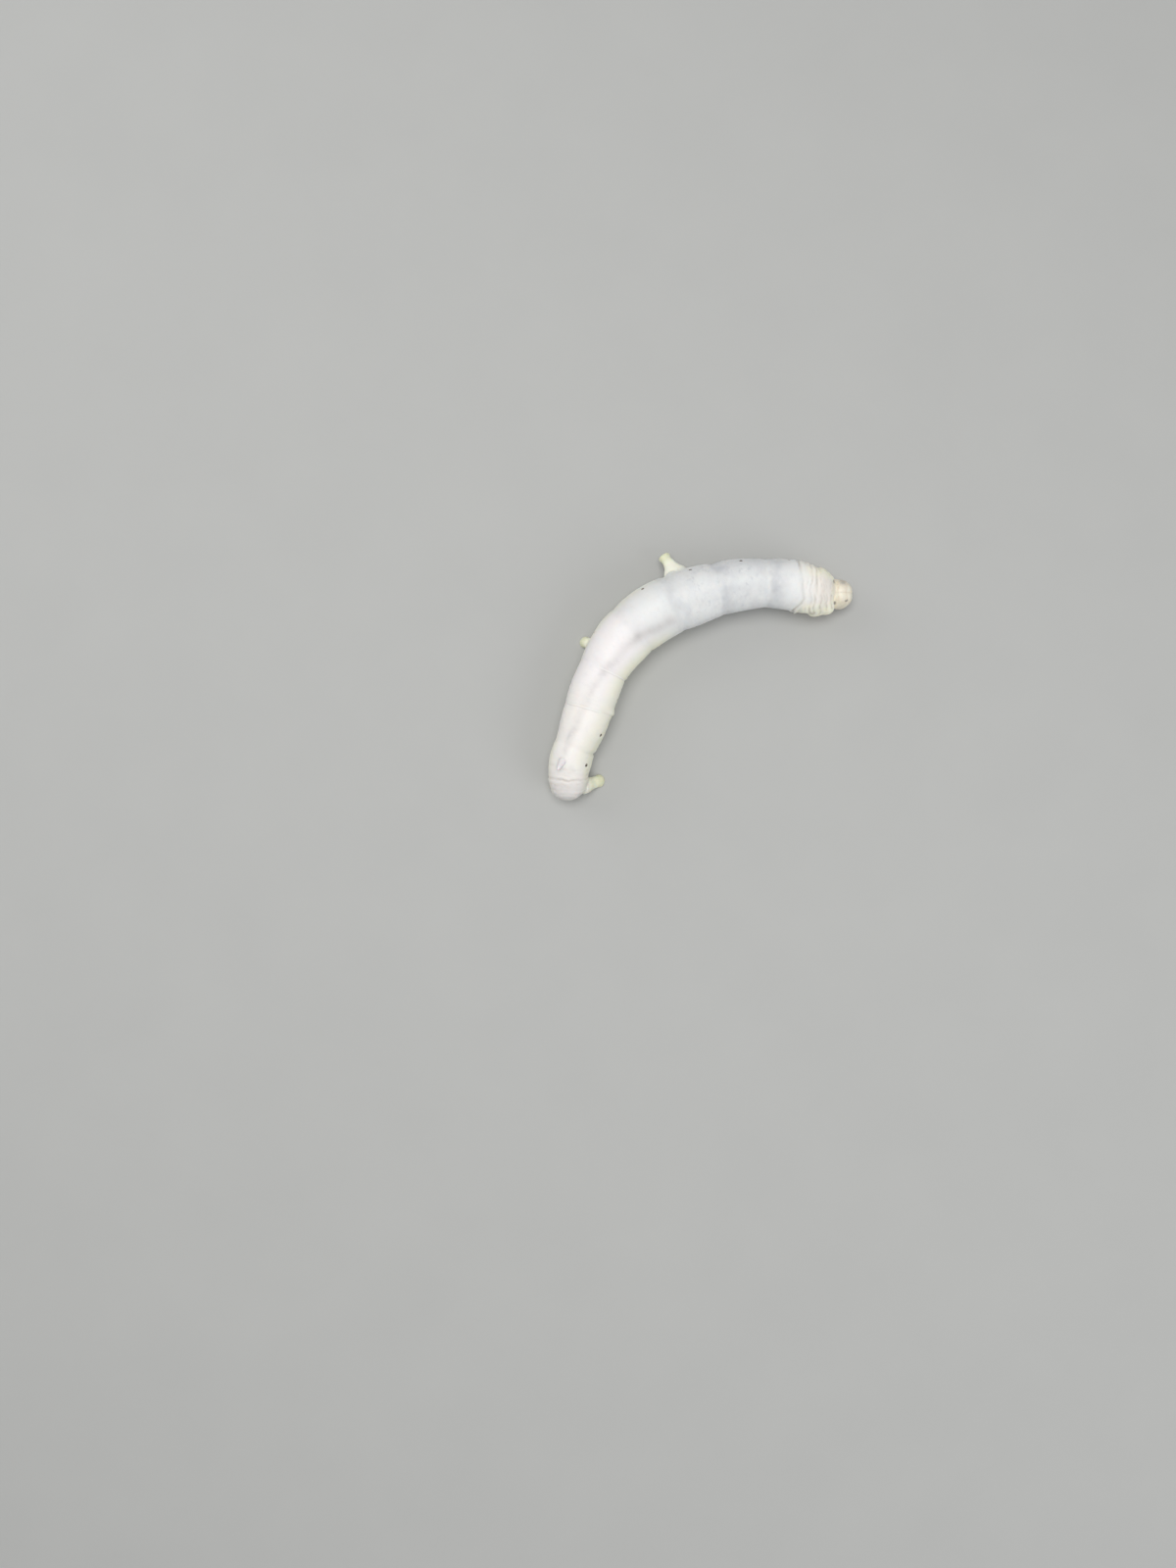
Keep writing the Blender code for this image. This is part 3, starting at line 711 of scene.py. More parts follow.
def heart_line(s, around, a):
    """The vessel that shows under the back, and painted shade: along the vessel in the front half where the
    back folds in the bend, and low on the right of the thorax.
    """
    off = around - np.interp(s, *HEART_LINE) + 2.5 * body_noise(s / 2.0, a, 0.0, 26)
    start = step(30.0, 33.5, s)
    heart = bell(off, np.interp(s, (38.0, 44.0), (10.0, 11.0))) * start * step(67.0, 61.0, s)
    dusk = (0.42 * heart + 0.12 * bell(around + 24.0, 16.0)) * step(43.0, 38.0, s) * start
    # Painted shade low on the right of the thorax, where its lobe lies in shadow.
    dusk += 0.35 * step(60.0, 84.0, -around) * bell(s - 6.7, 1.2)
    for where, long, angle, broad, strength in HEART_PATCHES:
        dusk += strength * bell(s - where, long) * bell(around - angle, broad)
    return heart, np.clip(dusk, 0, 1)


def dark_spots_and_shade(points):
    """The collar's flecks, and the faint spots of the first segments, one of them painted shade in a hollow."""
    dark, ragged = flecks_at(points), 1.0 + 0.5 * noise(points / 0.25, 28)
    for where, angle, size in SPOTS_AND_SHADE:
        away = np.linalg.norm(points - skin_at(where, angle)[0], axis=1) * ragged
        dark = np.maximum(dark, step(size * 1.35, size * 0.5, away) * 0.45)
    return dark


def make_skin():
    """The finished skin, with what its paint needs kept on its points."""
    body = plain_skin()
    points, ways = coords(body), normals(body)
    s, around, over = body_place(points)
    a = np.radians(around)
    on_foot, down = feet_place(points)
    limb = on_foot * step(0.1, 0.55, over)
    rise, fold, rim, gap, shown = relief(s, around)
    rise = rise * (1 - limb) * step(RIM - 0.45, RIM - 0.15, s)
    # Rings of a proleg: soft folds down to the pad.
    ripple = np.cos(2 * np.pi * (down * 4.2 + 0.25 * noise(points / 1.3, 22)))
    rise += limb * (0.014 * ripple * step(0.15, 0.3, down) * step(0.9, 0.7, down)
                    - 0.04 * bell(down - 0.46, 0.05) - 0.04 * bell(down - 0.82, 0.04)
                    + 0.03 * noise(points / 0.6, 23))
    points = points + ways * (rise * step(0.12, 0.5, points[:, 2]))[:, None]
    # What hangs close to the floor is pressed flat on it.
    low = points[:, 2] < 0.14
    points[low, 2] = np.maximum(points[low, 2] - 0.07, 0.0) * 2.0
    set_coords(body, points)
    heart, dusk = heart_line(s, around, a)
    to_front = s - BOWED - 0.80 * np.sin(a) - np.interp(around, *BOW) + 0.9 * body_noise(s / 1.6, a, 2.0, 27)
    by_raised = 0.75 * bell(s - 28.8, 1.6) * bell(round_gap(around, 130.0), 19.0)
    guides = dict(
        fold=fold * (1 - limb), rim=rim * (1 - limb), gap=gap, shown=shown * (1 - limb),
        band=drawn_grey(s, a) * (1 - limb), thin=thin_skin(s, around), wan=pale_flanks_and_painted_light(s, around, a),
        heart=heart, dusk=dusk, spot=dark_spots_and_shade(points),
        warm=step(33.0, 44.0, s + 2.5 * body_noise(s / 6.0, a, 1.0, 24)),
        front=0.25 * step(0.5, -0.4, to_front) + 0.75 * step(-0.5, -2.6, to_front),
        near=step(38.0, 24.0, s) * step(9.2, 10.5, s) * (0.25 + 0.75 * step(14.0, 16.5, s)),
        neck=step(4.25, 3.95, s), tail=step(64.5, 68.5, s), belly=step(105.0, 150.0, np.abs(around)),
        foot=np.maximum(on_foot * step(0.0, 0.3, over), by_raised), sole=limb * step(0.5, 0.96, down))
    attribute(body, "rest", np.column_stack([s, 4.0 * np.sin(a), 4.0 * np.cos(a)]))
    for name, values in guides.items():
        attribute(body, name, values)
    shade(body)
    return body


skin = make_skin()
SKIN_TREE = BVHTree.FromPolygons(coords(skin).tolist(), [tuple(p.vertices) for p in skin.data.polygons])


def on_skin(s, around):
    """The point of the finished skin at a place of the body, and the way it faces."""
    core, plain = middle(s)[0], skin_at(s, around)[0]
    way = unit(plain - core)
    hit, normal, _, _ = SKIN_TREE.ray_cast(Vector(plain + way * 1.2), Vector(-way), 4.0)
    if hit is None:
        return plain, way
    normal = np.array(normal)
    return np.array(hit), normal if normal @ way > 0 else -normal


# ---------------------------------------------------------------- finishes

class Finish:
    """A material and the nodes it is painted with."""

    def __init__(self, name, **sockets):
        self.material = bpy.data.materials.new(name)
        self.material.use_nodes = True
        self.tree = self.material.node_tree
        self.shader = self.tree.nodes["Principled BSDF"]
        for socket, value in sockets.items():
            self.shader.inputs[socket.replace("_", " ")].default_value = value

    def node(self, kind, **settings):
        made = self.tree.nodes.new(kind)
        for key, value in settings.items():
            setattr(made, key, value)
        return made

    def feed(self, socket, value):
        if isinstance(value, bpy.types.NodeSocket):
            self.tree.links.new(value, socket)
        elif isinstance(value, tuple) and len(value) == 3 and len(socket.default_value) == 4:
            socket.default_value = (*value, 1.0)
        else:
            socket.default_value = value

    def read(self, name, vector=False):
        return self.node("ShaderNodeAttribute", attribute_name=name).outputs["Vector" if vector else "Fac"]

    def stretch(self, vector, scale):
        made = self.node("ShaderNodeMapping")
        self.feed(made.inputs["Vector"], vector)
        made.inputs["Scale"].default_value = scale
        return made.outputs["Vector"]

    def cloud(self, vector, scale, detail=3.0, roughness=0.55):
        made = self.node("ShaderNodeTexNoise")
        self.feed(made.inputs["Vector"], vector)
        for key, value in (("Scale", scale), ("Detail", detail), ("Roughness", roughness)):
            made.inputs[key].default_value = value
        return made.outputs["Fac"]

    def cells(self, vector, scale, feature="DISTANCE_TO_EDGE"):
        made = self.node("ShaderNodeTexVoronoi", feature=feature)
        self.feed(made.inputs["Vector"], vector)
        made.inputs["Scale"].default_value = scale
        return made.outputs["Distance"]

    def maths(self, operation, a, b=0.5):
        made = self.node("ShaderNodeMath", operation=operation, use_clamp=operation == "MULTIPLY")
        self.feed(made.inputs[0], a)
        self.feed(made.inputs[1], b)
        return made.outputs[0]

    def times(self, a, b):
        return self.maths("MULTIPLY", a, b)

    def limit(self, value, low, high, to_low=0.0, to_high=1.0):
        made = self.node("ShaderNodeMapRange", interpolation_type="SMOOTHSTEP")
        for key, given in (("Value", value), ("From Min", low), ("From Max", high), ("To Min", to_low),
                           ("To Max", to_high)):
            self.feed(made.inputs[key], given)
        return made.outputs["Result"]

    def mix(self, factor, a, b):
        made = self.node("ShaderNodeMix", data_type="RGBA")
        self.feed(made.inputs["Factor"], factor)
        self.feed(made.inputs[6], a)
        self.feed(made.inputs[7], b)
        return made.outputs[2]

    def coat(self, colour, *layers):
        """The colour under layers of paint, each a guide's name or a socket, a strength and a tone."""
        for where, strength, tone in layers:
            where = self.read(where) if isinstance(where, str) else where
            colour = self.mix(where if strength == 1.0 else self.times(where, strength), colour, tone)
        return colour

    def bump(self, height, distance, strength=1.0, under=None):
        made = self.node("ShaderNodeBump")
        made.inputs["Distance"].default_value = distance * MM
        made.inputs["Strength"].default_value = strength
        self.feed(made.inputs["Height"], height)
        if under is not None:
            self.feed(made.inputs["Normal"], under)
        return made.outputs["Normal"]

    def wear(self, colour=None, normal=None, roughness=None):
        for socket, value in (("Base Color", colour), ("Normal", normal), ("Roughness", roughness)):
            if value is not None:
                self.feed(self.shader.inputs[socket], value)
        return self.material


def skin_finish():
    f = Finish("soft larval skin", Roughness=0.5, Subsurface_Weight=0.3, Subsurface_Scale=0.0009,
               Subsurface_Radius=(1.0, 0.75, 0.6), Specular_IOR_Level=0.35,
               Sheen_Weight=0.08, Sheen_Roughness=0.5)
    rest, near, gap, shown = f.read("rest", vector=True), f.read("near"), f.read("gap"), f.read("shown")
    haze = f.limit(f.cloud(f.stretch(rest, (0.55, 0.32, 0.32)), 1.0, 5.0, 0.62), 0.40, 0.68)
    flock = f.times(f.limit(f.cloud(rest, 0.42, 1.0), 0.44, 0.62), near)
    smudges = f.limit(f.cloud(f.stretch(rest, (1.5, 1.2, 1.2)), 1.0, 2.0, 0.7), 0.47, 0.80)
    dust = f.limit(f.cloud(f.stretch(rest, (2.0, 1.6, 1.6)), 1.0, 4.0), 0.50, 0.78)
    # A painted highlight along the thin rim where a segment overlaps the next, and a faint painted shadow just
    # behind it.
    lip = f.times(f.limit(f.maths("ABSOLUTE", gap), 0.15, 0.06), shown)
    under = f.times(f.limit(f.maths("ABSOLUTE", f.maths("SUBTRACT", gap, 0.22)), 0.13, 0.03), shown)
    colour = f.coat(
        f.mix(f.read("warm"), (0.80, 0.812, 0.808), (0.885, 0.855, 0.855)),
        ("front", 1.0, (0.85, 0.805, 0.745)),
        ("neck", 1.0, (0.85, 0.805, 0.69)),
        ("thin", 0.85, (0.86, 0.86, 0.67)),
        # Pale yellow thorax flanks, brightened as painted light on their steep sides.
        ("wan", 0.90, (1.0, 0.99, 0.76)),
        ("tail", 0.45, (0.64, 0.61, 0.61)),
        (haze, f.limit(near, 0.0, 1.0, 0.10, 0.50), (0.665, 0.685, 0.715)),
        ("band", 0.55, (0.55, 0.565, 0.59)),
        (f.times(smudges, flock), 0.60, (0.54, 0.555, 0.585)),
        (dust, f.limit(near, 0.0, 1.0, 0.12, 0.26), (0.57, 0.57, 0.585)),
        ("heart", f.limit(haze, 0.0, 1.0, 0.36, 0.62), (0.625, 0.595, 0.59)),
        # Darker along the vessel, with painted shade in the bend's fold and low on the thorax's right.
        ("dusk", 0.55, (0.43, 0.425, 0.41)),
        ("belly", 0.5, (0.70, 0.71, 0.60)),
        ("foot", 0.90, (0.975, 0.98, 0.82)),
        ("foot", f.read("tail"), (0.80, 0.81, 0.63)),
        ("sole", 0.85, (0.68, 0.70, 0.48)),
        # Painted shade in the folds, and a painted highlight on the rim ahead of each crease.
        ("fold", 0.64, (0.47, 0.43, 0.38)),
        ("rim", 0.7, (0.90, 0.88, 0.83)),
        # Painted highlight on the overlapping rims and painted shadow just behind them.
        (lip, 0.85, (0.95, 0.935, 0.91)),
        (under, 0.25, (0.55, 0.52, 0.50)),
        # Dark flecks and faint spots, one of them painted shade in a hollow of the right flank.
        ("spot", 0.85, (0.10, 0.085, 0.075)))
    across = f.cloud(f.stretch(rest, (5.0, 0.8, 0.8)), 1.0, 4.0)
    normal = f.bump(f.cells(rest, 9.0), 0.03, 0.4, f.bump(across, 0.05, 0.42))
    normal = f.bump(f.times(f.limit(gap, 0.14, 0.04), shown), 0.05, 0.8, normal)
    return f.wear(colour, normal, f.limit(across, 0.3, 0.7, 0.42, 0.58))


skin.data.materials.append(skin_finish())
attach(skin, "root")
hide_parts(*["thorax_%d" % n for n in (1, 2, 3)], *["abdomen_%d" % n for n in range(1, 11)],
            *["proleg_%d_%s" % (n, side) for n in (3, 4, 5, 6) for side in ("left", "right")],
            "clasper_left", "clasper_right")

# ---------------------------------------------------------------- pieces drawn out station by station

def frame_of(centre, facing, along, half_long, half_wide):
    """The matrix that lays a unit disc on a station of a limb."""
    facing = unit(np.asarray(facing, float))
    side = unit(along - facing * np.dot(along, facing))
    made = np.eye(4)
    made[:3, :] = np.column_stack([side * half_long, np.cross(facing, side) * half_wide, facing, centre]) * MM
    return Matrix(made.tolist())


def grow(name, stations, sides=16, smoothing=1):
    """A limb extruded from a disc through its stations: centre, facing, along and two half sizes."""
    bpy.ops.object.select_all(action="DESELECT")
    bpy.ops.mesh.primitive_circle_add(vertices=sides, radius=1.0, fill_type="NGON")
    obj = named(name)
    bpy.ops.object.mode_set(mode="EDIT")
    bpy.ops.mesh.select_all(action="SELECT")
    last = Matrix.Identity(4)
    for number, station in enumerate(stations):
        if number:
            bpy.ops.mesh.extrude_region_move()
        bm = bmesh.from_edit_mesh(obj.data)
        following = frame_of(*station)
        bmesh.ops.transform(bm, matrix=following @ last.inverted(), verts=[v for v in bm.verts if v.select])
        bmesh.update_edit_mesh(obj.data)
        last = following
    bpy.ops.object.mode_set(mode="OBJECT")
    face_outward(obj)
    if smoothing:
        rounder = obj.modifiers.new("round", "SUBSURF")
        rounder.levels = rounder.render_levels = smoothing
        bpy.ops.object.modifier_apply(modifier=rounder.name)
    shade(obj)
    return obj


CONE = ((0, 1), (0.1, 1), (0.5, 1), (0.9, 1), (1, 0.8))     # share of a joint's length and its fullness there
OVERLAP = 0.88                                              # share of a joint that the next one leaves bare


def cone_stations(root, away, along, length, start, end):
    """Stations of a straight tapering joint."""
    sizes = [(t, (start + (end - start) * t) * full) for t, full in CONE]
    return [(root + away * (length * t), away, along, size, size) for t, size in sizes]


def chain(name, root, away, along, joints, sides=16):
    """Tapering joints, each sunk in the one before, and the point that they end at."""
    parts = []
    for length, wide, thin, finish in joints:
        parts.append(dress(grow(name, cone_stations(root, away, along, length, wide, thin), sides), finish))
        root = root + away * (length * OVERLAP)
    return parts, root


def ball(name, centre, radius, subdivisions=3):
    bpy.ops.object.select_all(action="DESELECT")
    bpy.ops.mesh.primitive_ico_sphere_add(subdivisions=subdivisions, radius=radius * MM,
                                          location=Vector(centre) * MM)
    bpy.ops.object.transform_apply(location=True, rotation=True, scale=True)
    obj = named(name)
    shade(obj)
    return obj


def egg(name, centre, ways, sizes, shape=None, subdivisions=4):
    """A ball drawn out along three ways. A shape function may move its unit points first."""
    obj = ball(name, (0.0, 0.0, 0.0), 1.0, subdivisions)
    points = coords(obj)
    if shape is not None:
        points = shape(points)
    set_coords(obj, np.asarray(centre) + (points * np.asarray(sizes)) @ np.asarray(ways))
    face_outward(obj)
    return obj


def dress(obj, material):
    obj.data.materials.clear()
    obj.data.materials.append(material)
    return obj


def finished(obj, slot, *nodes):
    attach(obj, "root")
    if nodes:
        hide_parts(*nodes)
    return obj


# ---------------------------------------------------------------- the head

HEAD = dict(along=2.1, across=2.56, length=2.30, height=2.5, bow=34.0, lift=3.5, taper=0.22, blunt=0.06)
SUNK_FROM, SUNK_BY = 0.5, 0.75          # from where, and by what share, the back of the head is drawn in


def head_axes():
    """The middle of the head capsule and its directions: face, left and crown, bowed down."""
    back, left, up = (way[0] for way in axes(HEAD["along"]))
    bow = math.radians(HEAD["bow"])
    centre = middle(HEAD["along"])[0]
    centre[2] = HEAD["lift"]
    face = -back * math.cos(bow) - up * math.sin(bow)
    return centre, face, left, -np.cross(left, face)


HEAD_MIDDLE, FACE, LEFT, CROWN = head_axes()


def head_form(rays):
    """Unit rays (face, left, crown) turned into points of the smooth capsule."""
    x, y, z = rays.T
    full = np.sqrt(1.0 + np.minimum(x, 0.0) ** 2)
    y, z = y * full, z * full
    narrow = 1.0 - HEAD["taper"] * np.maximum(-z, 0.0)
    blunt = 1.0 - HEAD["blunt"] * np.maximum(x, 0.0) ** 4
    return (HEAD_MIDDLE + np.outer(x * blunt * HEAD["length"], FACE)
            + np.outer(y * narrow * HEAD["across"], LEFT) + np.outer(z * HEAD["height"], CROWN))


def head_ray(across, down):
    a, d = np.radians(across), np.radians(down)
    return np.array([math.cos(a) * math.cos(d), math.sin(a) * math.cos(d), -math.sin(d)])


def head_point(across, down, out=0.0):
    ray = head_ray(across, down)
    spot = head_form(ray[None])[0]
    return spot + unit(spot - HEAD_MIDDLE) * out


EYE_PLACE, FEELER_PLACE = (62.0, 24.0), (46.0, 44.0)    # degrees from the face to the side and down
FORK, CLYPEUS = -16.0, 33.0     # where the seam of the crown forks and where the upper lip's plate starts


def head_relief(rays):
    """How far the shell stands out or in, and how deep in a seam it is."""
    x, y, z = rays.T
    turn = np.degrees(np.arctan2(-z, x))            # -90 at the crown, 0 at the face, 90 underneath
    side = np.abs(y)
    # The seam of the crown in its shallow groove, between two full lobes.
    seam = bell(y + 0.012 * noise(rays * 4.0, 41), 0.035) * step(FORK + 6.0, FORK - 4.0, turn)
    rise = -0.022 * seam - 0.05 * bell(y, 0.16) * step(FORK + 25.0, FORK - 20.0, turn)
    rise += 0.05 * bell(side - 0.42, 0.26) * step(20.0, -20.0, turn)
    # The fork of the seam round the sunken triangle of the face.
    width = 0.36 * np.clip((turn - FORK) / (CLYPEUS - FORK), 0.0, 1.0) ** 0.85
    in_face = step(FORK - 3.0, FORK + 4.0, turn) * step(CLYPEUS + 4.0, CLYPEUS - 1.0, turn)
    fork, outer = bell(side - width, 0.026) * in_face, bell(side - width - 0.085, 0.024) * in_face
    rise -= 0.07 * fork + 0.04 * outer + 0.05 * step(width + 0.01, width * 0.6, side) * in_face
    # The upper lip's plate, the rise round eyes and feelers, and the line of the cheek.
    lip = bell(turn - CLYPEUS, 2.0) * step(0.44, 0.36, side)
    jaw = bell(side - 0.5, 0.07) * step(40.0, 52.0, turn) * step(100.0, 80.0, turn)
    rise += 0.05 * bell(turn - 43.0, 7.0) * step(0.5, 0.3, side) - 0.08 * lip - 0.06 * jaw
    for spot, size, high in ((EYE_PLACE, 0.26, 0.05), (FEELER_PLACE, 0.14, 0.04)):
        for _, sign in SIDES:
            rise += high * bell(np.linalg.norm(rays - head_ray(sign * spot[0], spot[1]), axis=1), size)
    rise += 0.022 * noise(rays * 5.0, 42) + 0.010 * noise(rays * 16.0, 43)
    return rise, np.clip(0.22 * seam + 0.8 * fork + 0.6 * outer + 0.8 * lip + 0.6 * jaw, 0, 1)


def head_guides(points, rays, seam, back):
    """What the head's paint needs at each point."""
    x, _, z = rays.T
    ahead = points - HEAD_MIDDLE
    forward, sideways, high = ahead @ unit(np.array([-back[0], -back[1], 0.0])), ahead @ LEFT, ahead[:, 2]
    # A dark fleck on the right lobe and a darker grey streak on the left one.
    ragged = 1.0 + 0.45 * noise(points / 0.22, 44)
    fleck = np.maximum(step(0.28, 0.04, np.hypot(forward - 0.98, (sideways + 1.40) * 1.2) * ragged),
                       0.8 * step(0.24, 0.02, np.hypot(forward - 1.20, sideways + 1.29) * ragged))
    left_streak = bell(np.hypot((forward - 0.35) / 1.2, sideways - 1.75) * ragged, 0.55) * step(-0.6, 0.4, high)
    to_eyes = [np.linalg.norm(rays - head_ray(sign * EYE_PLACE[0], EYE_PLACE[1]), axis=1) for _, sign in SIDES]
    return dict(
        seam=seam, left_streak=left_streak, eyes=bell(np.minimum(*to_eyes), 0.21),
        fleck=np.maximum(fleck * step(0.2, 0.8, high), flecks_at(points)),
        low=step(5.0, 60.0, np.degrees(np.arctan2(-z, x))) * step(-0.5, 0.2, x),
        shade=step(-0.5, -1.9, sideways) * step(1.9, 0.6, forward),
        collar=step(0.35, -0.25, forward + 1.0))


def head_finish():
    f = Finish("head shell", Roughness=0.44, Subsurface_Weight=0.18, Subsurface_Scale=0.0005,
               Subsurface_Radius=(1.0, 0.6, 0.4), Specular_IOR_Level=0.5, Coat_Weight=0.12, Coat_Roughness=0.3)
    mirror, local = f.read("mirrored", vector=True), f.read("local", vector=True)
    freckles = f.limit(f.cloud(mirror, 6.5, 4.0, 0.6), 0.50, 0.72)
    pits = f.limit(f.cells(local, 14.0, "F1"), 0.16, 0.05)
    colour = f.coat(
        f.mix(f.limit(f.cloud(mirror, 2.2), 0.35, 0.65), (0.87, 0.825, 0.71), (0.81, 0.745, 0.61)),
        ("low", 0.55, (0.50, 0.36, 0.22)),
        (freckles, 0.30, (0.56, 0.46, 0.35)),
        (pits, 0.35, (0.36, 0.26, 0.18)),
        ("collar", 0.5, (0.80, 0.74, 0.64)),
        ("shade", 0.35, (0.60, 0.54, 0.40)),
        ("seam", 0.6, (0.33, 0.24, 0.16)),
        ("left_streak", 0.6, (0.36, 0.33, 0.29)),
        ("fleck", 0.88, (0.10, 0.085, 0.07)),
        ("eyes", 0.9, (0.07, 0.05, 0.04)))
    grain = f.bump(f.cells(local, 20.0), 0.02, 0.35, f.bump(f.cloud(local, 26.0, 3.0), 0.03, 0.45))
    return f.wear(colour, grain, f.limit(f.cloud(local, 9.0), 0.3, 0.7, 0.38, 0.52))


def make_head():
    """The hard shell of the head, bowed down out of the collar."""
    head = ball("head_capsule", (0.0, 0.0, 0.0), 1.0, 7)
    rays = unit(coords(head))
    rise, seam = head_relief(rays)
    points = head_form(rays)
    points += unit(points - HEAD_MIDDLE) * rise[:, None]
    # Sunk in the collar behind the neck, so that the collar's skin closes over it.
    back = axes(FRONT)[0][0]
    behind = (points - middle(FRONT)[0]) @ back
    points -= np.outer(np.maximum(behind - SUNK_FROM, 0.0) * SUNK_BY, back)
    set_coords(head, points)
    attribute(head, "local", rays)
    attribute(head, "mirrored", np.column_stack([rays[:, 0], np.abs(rays[:, 1]), rays[:, 2]]))
    for name, values in head_guides(points, rays, seam, back).items():
        attribute(head, name, values)
    shade(head)
    return finished(dress(head, head_finish()), "head_shell", "head")


def plain_finish(name, light, dark, scale, roughness=0.35, bump=0.02, **sockets):
    """A two-toned shell whose tones drift over the piece."""
    f = Finish(name, Roughness=roughness, **sockets)
    where = f.node("ShaderNodeTexCoord").outputs["Object"]
    colour = f.mix(f.limit(f.cloud(where, scale / MM, 4.0), 0.35, 0.65), light, dark)
    return f.wear(colour, f.bump(f.cloud(where, scale * 4.0 / MM), bump, 0.5))


SHELL = plain_finish("tan leg shell", (0.70, 0.53, 0.32), (0.52, 0.35, 0.19), 0.9,
                     Coat_Weight=0.2, Coat_Roughness=0.25)
PALE = plain_finish("soft pale joint skin", (0.80, 0.75, 0.62), (0.72, 0.66, 0.52), 1.2, 0.5,
                    Subsurface_Weight=0.2, Subsurface_Scale=0.0005)
DARK = plain_finish("dark horny brown", (0.16, 0.085, 0.045), (0.06, 0.035, 0.025), 1.5, 0.28, 0.015,
                    Coat_Weight=0.3, Coat_Roughness=0.2)
LENS = plain_finish("black eye lens", (0.012, 0.010, 0.009), (0.03, 0.02, 0.015), 2.0, 0.08, 0.002,
                    Coat_Weight=1.0, Coat_Roughness=0.03)
BRISTLE = plain_finish("pale bristle", (0.84, 0.79, 0.68), (0.74, 0.68, 0.56), 1.0, 0.4, 0.0)

# Six lenses a side, as degrees from the middle of the group: five on an arc and one behind it.
LENSES = ((-11.0, -8.0, 0.135), (-2.0, -12.0, 0.14), (8.0, -9.0, 0.14), (12.0, 0.0, 0.13), (7.0, 9.0, 0.125),
          (-10.0, 6.0, 0.13))


def make_eyes(side, sign):
    lenses = []
    for across, down, radius in LENSES:
        spot = head_point(sign * (EYE_PLACE[0] + across), EYE_PLACE[1] + down, 0.02)
        lenses.append(dress(ball("lens", spot, radius), LENS))
    return finished(join(lenses, "eyes_" + side), "eye_lens", "stemmata_" + side)


# Joints of a feeler and of a palp, root to tip: length, half breadths at both ends and finish.
FEELER_JOINTS = ((0.30, 0.31, 0.26, PALE), (0.24, 0.23, 0.215, SHELL), (0.34, 0.175, 0.155, SHELL),
                 (0.14, 0.08, 0.06, DARK))
PALP_JOINTS = ((0.38, 0.27, 0.23, PALE), (0.22, 0.19, 0.165, SHELL), (0.18, 0.13, 0.11, SHELL),
               (0.12, 0.075, 0.055, DARK))


def make_feeler(side, sign):
    """A feeler of three joints with one long bristle, standing in a soft socket."""
    root = head_point(sign * FEELER_PLACE[0], FEELER_PLACE[1], -0.08)
    away = unit(unit(root - HEAD_MIDDLE) + FACE * 0.5)
    parts, tip = chain("joint", root, away, CROWN, FEELER_JOINTS)
    bristle = cone_stations(tip + LEFT * sign * 0.07, away, CROWN, 0.22, 0.02, 0.006)
    parts.append(dress(grow("bristle", bristle, 6, 0), BRISTLE))
    return finished(join(parts, "feeler_" + side), "leg_shell", "antenna_" + side)


def make_mouth():
    """Upper lip, two toothed jaws, feeling palps and the pointed spinneret."""
    at = head_point(0.0, 56.0, -0.05)
    away = unit(at - HEAD_MIDDLE)
    front = unit(np.cross(LEFT, away))
    front = front if front @ FACE > 0 else -front
    ways = (LEFT, front, away)

    def spot(left, ahead, out):
        return at + LEFT * left + front * ahead + away * out

    def lip(p):
        p[:, 2] *= 1 - 0.32 * bell(p[:, 0], 0.2) * step(0.0, 0.5, p[:, 2])
        return p

    def jaw(p):
        p[:, 2] *= 1 - 0.22 * np.abs(np.sin(p[:, 0] * 6.5 + 0.6)) * step(0.2, 0.7, p[:, 2])
        p[:, 1] *= 1 - 0.45 * step(0.0, 1.0, p[:, 2])
        return p

    parts = [dress(egg("lip", spot(0.0, 0.30, 0.12), ways, (0.60, 0.17, 0.46), lip), SHELL)]
    for _, sign in SIDES:
        parts.append(dress(egg("jaw", spot(sign * 0.27, 0.08, 0.22), ways, (0.32, 0.20, 0.50), jaw), DARK))
        parts += chain("palp", spot(sign * 0.52, -0.14, -0.1), away, front, PALP_JOINTS, 12)[0]
        small = cone_stations(spot(sign * 0.2, -0.42, 0.45), away, front, 0.16, 0.055, 0.035)
        parts.append(dress(grow("small palp", small, 8), DARK))
    parts.append(dress(egg("under lip", spot(0.0, -0.36, 0.12), ways, (0.40, 0.24, 0.44)), PALE))
    spinneret = cone_stations(spot(0.0, -0.44, 0.48), unit(away - front * 0.2), front, 0.34, 0.085, 0.03)
    parts.append(dress(grow("spinneret", spinneret, 12), SHELL))
    return finished(join(parts, "mouth"), "mouth_shell", "mouthparts")


# ---------------------------------------------------------------- legs, horn, breathing holes and hooks

# Shares of the leg's length, and how far its bent line lies out and ahead of the straight one there.
LEG_BEND = (0.0, 0.30, 0.55, 0.82, 1.0), (0.0, 0.25, 0.50, 0.30, 0.0), (0.0, 0.12, 0.25, 0.15, 0.0)
# Shares of the leg's length where each plate starts and ends, and its half breadths there.
LEG_PLATES = ((0.18, 0.48, 0.66, 0.52), (0.45, 0.70, 0.50, 0.42), (0.68, 0.86, 0.39, 0.28),
              (0.85, 0.94, 0.25, 0.19))
LEG_CORE = (0.1, 0.92, 0.58, 0.17)
PLATE_FORM = ((0, 0.86), (0.08, 0.98), (0.3, 1.04), (0.6, 1.0), (0.9, 1.0), (1.0, 0.86))


